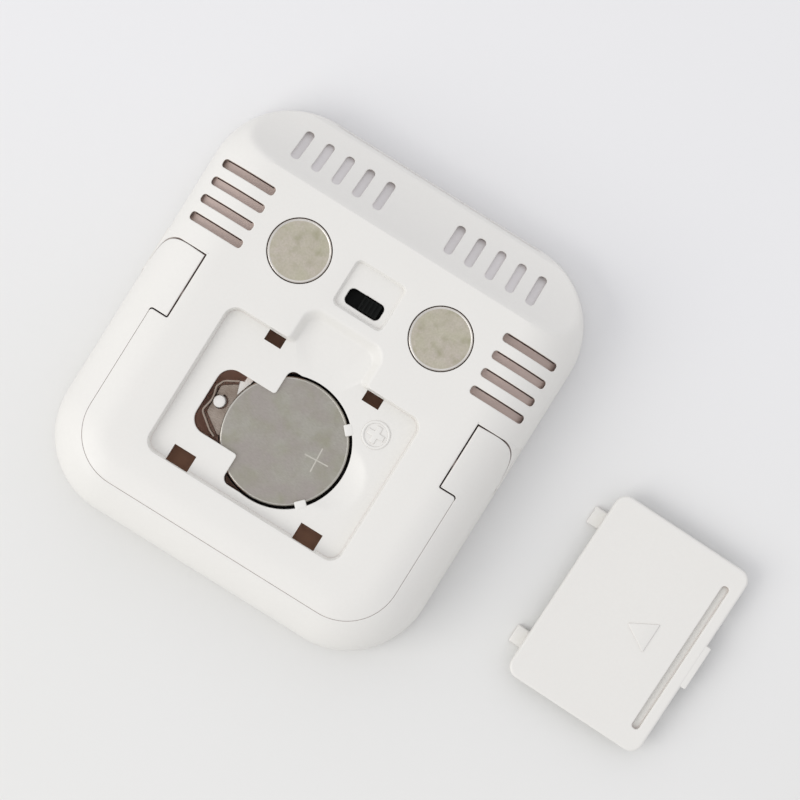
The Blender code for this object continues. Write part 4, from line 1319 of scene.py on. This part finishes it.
def build_object():
    # Slots 1 to 4 carry painted shade: the inner brown, the two vent floors and the well's near-black.
    rear = rear_outer().build("rear_shell", WHITE, INNER_SHADE_BROWN, VENT_FLOOR_PAINTED_SHADE, SHALLOW_VENT_PAINTED_SHADE, WELL_PAINTED_SHADE, SHELF)
    applied(rear, ("UNION", swing_wall(-1)), ("UNION", swing_wall(1)), ("DIFFERENCE", cavity()))
    small_fittings(rear)
    show(rear, "case", "housing_white", "rear_housing")
    show(front_housing(), "case", "housing_white", "front_housing")
    show(stand(), "stand", "housing_white", "stand")
    show(battery_cover(), "cover", "housing_white", "battery_cover")
    show(coin_can(), "cell", "cell_steel", "battery_can")
    show(magnet(-1), "case", "magnet_nickel", "magnet_left")
    show(magnet(1), "case", "magnet_nickel", "magnet_right")
    show(knob(), "switch_slider", "switch_black", "switch_knob")
    show(side_contact(), "case", "contact_steel", "positive_contact")
    keep(["display_lens"], LENS)
    keep(["lcd_panel"], LCD)
    keep(["lcd_backing"], BACKING)
    keep(["zebra_strip_top", "zebra_strip_bottom"], RUBBER)
    keep(["circuit_board"], BOARD)
    keep(["controller_chip", "humidity_sensor"], CHIP)
    keep(["crystal", "switch_body"], SCREW)
    keep(["negative_contact"], SPRING)
    keep(["capacitor_1", "capacitor_2"], CERAMIC)
    keep([f"board_screw_{i}" for i in range(1, 5)], SCREW)
    keep(["battery_seal"], SEAL)
    keep(["battery_cap"], CELL_FACE)


# Floor, light and camera


def studio():
    floor = placed("floor", bpy.data.meshes.new("floor"))
    half = 2.0
    corners = [(x, y, -0.00003) for x, y in ((-half, -half), (half, -half), (half, half), (-half, half))]
    floor.data.from_pydata(corners, [], [(0, 1, 2, 3)])
    paper = Finish("floor_paper", (0.762, 0.762, 0.738), 0.7)
    # Painted shading on the floor paper: a little darker and warmer towards -y, lighter and neutral towards
    # +y.
    along = add_node(paper.tree, "ShaderNodeVectorMath", {1: (-0.20, 0.98, 0.0)}, operation="DOT_PRODUCT")
    paper.link(paper.space, along.inputs[0])
    paper.tint(paper.ranged(along.outputs["Value"], 0.0, 1.0, -0.03, 0.035), (0.80, 0.80, 0.80))
    finish = paper.mottle(60.0, (0.785, 0.785, 0.785), 0.3).grain(0.3, 0.004).material
    floor.data.materials.append(finish)

    world = bpy.data.worlds.new("studio")
    world.use_nodes = True
    tree = world.node_tree
    wire = tree.links.new
    sky = tree.nodes["Background"].inputs
    sky["Color"].default_value = (0.965, 0.965, 1.0, 1.0)
    facing = add_node(tree, "ShaderNodeVectorMath", {1: (-0.35, 0.94, 0.0)}, operation="DOT_PRODUCT")
    wire(tree.nodes.new("ShaderNodeTexCoord").outputs["Generated"], facing.inputs[0])
    level = add_node(tree, "ShaderNodeMapRange", spans(0.68, 1.04, -1.0, 1.0))
    wire(facing.outputs["Value"], level.inputs["Value"])
    wire(level.outputs["Result"], sky["Strength"])
    bpy.context.scene.world = world

    light = bpy.data.lights.new("window_light", "AREA")
    light.shape = "SQUARE"
    light.size = 0.75
    light.energy = 4.6
    light.color = (1.0, 0.985, 0.95)
    lamp = placed("window_light", light)
    lamp.location = (-0.54, -0.64, 0.66)
    away = Vector((0.012, 0.004, 0.0)) - Vector((-0.54, -0.64, 0.66))
    lamp.rotation_euler = away.to_track_quat("-Z", "Y").to_euler()


def camera():
    """Looks straight down on the back, turned so that the vents are at the upper right."""
    lens = bpy.data.cameras.new("camera")
    lens.lens = 118.08
    lens.sensor_width = 36.0
    lens.clip_start = 0.01
    eye = placed("camera", lens)
    eye.location = (0.01235, 0.0041, 0.416)
    eye.rotation_euler = (0.0, 0.0, math.radians(31.965))
    bpy.context.scene.camera = eye


build_object()
studio()
camera()
bpy.context.scene.view_settings.view_transform = "Standard"
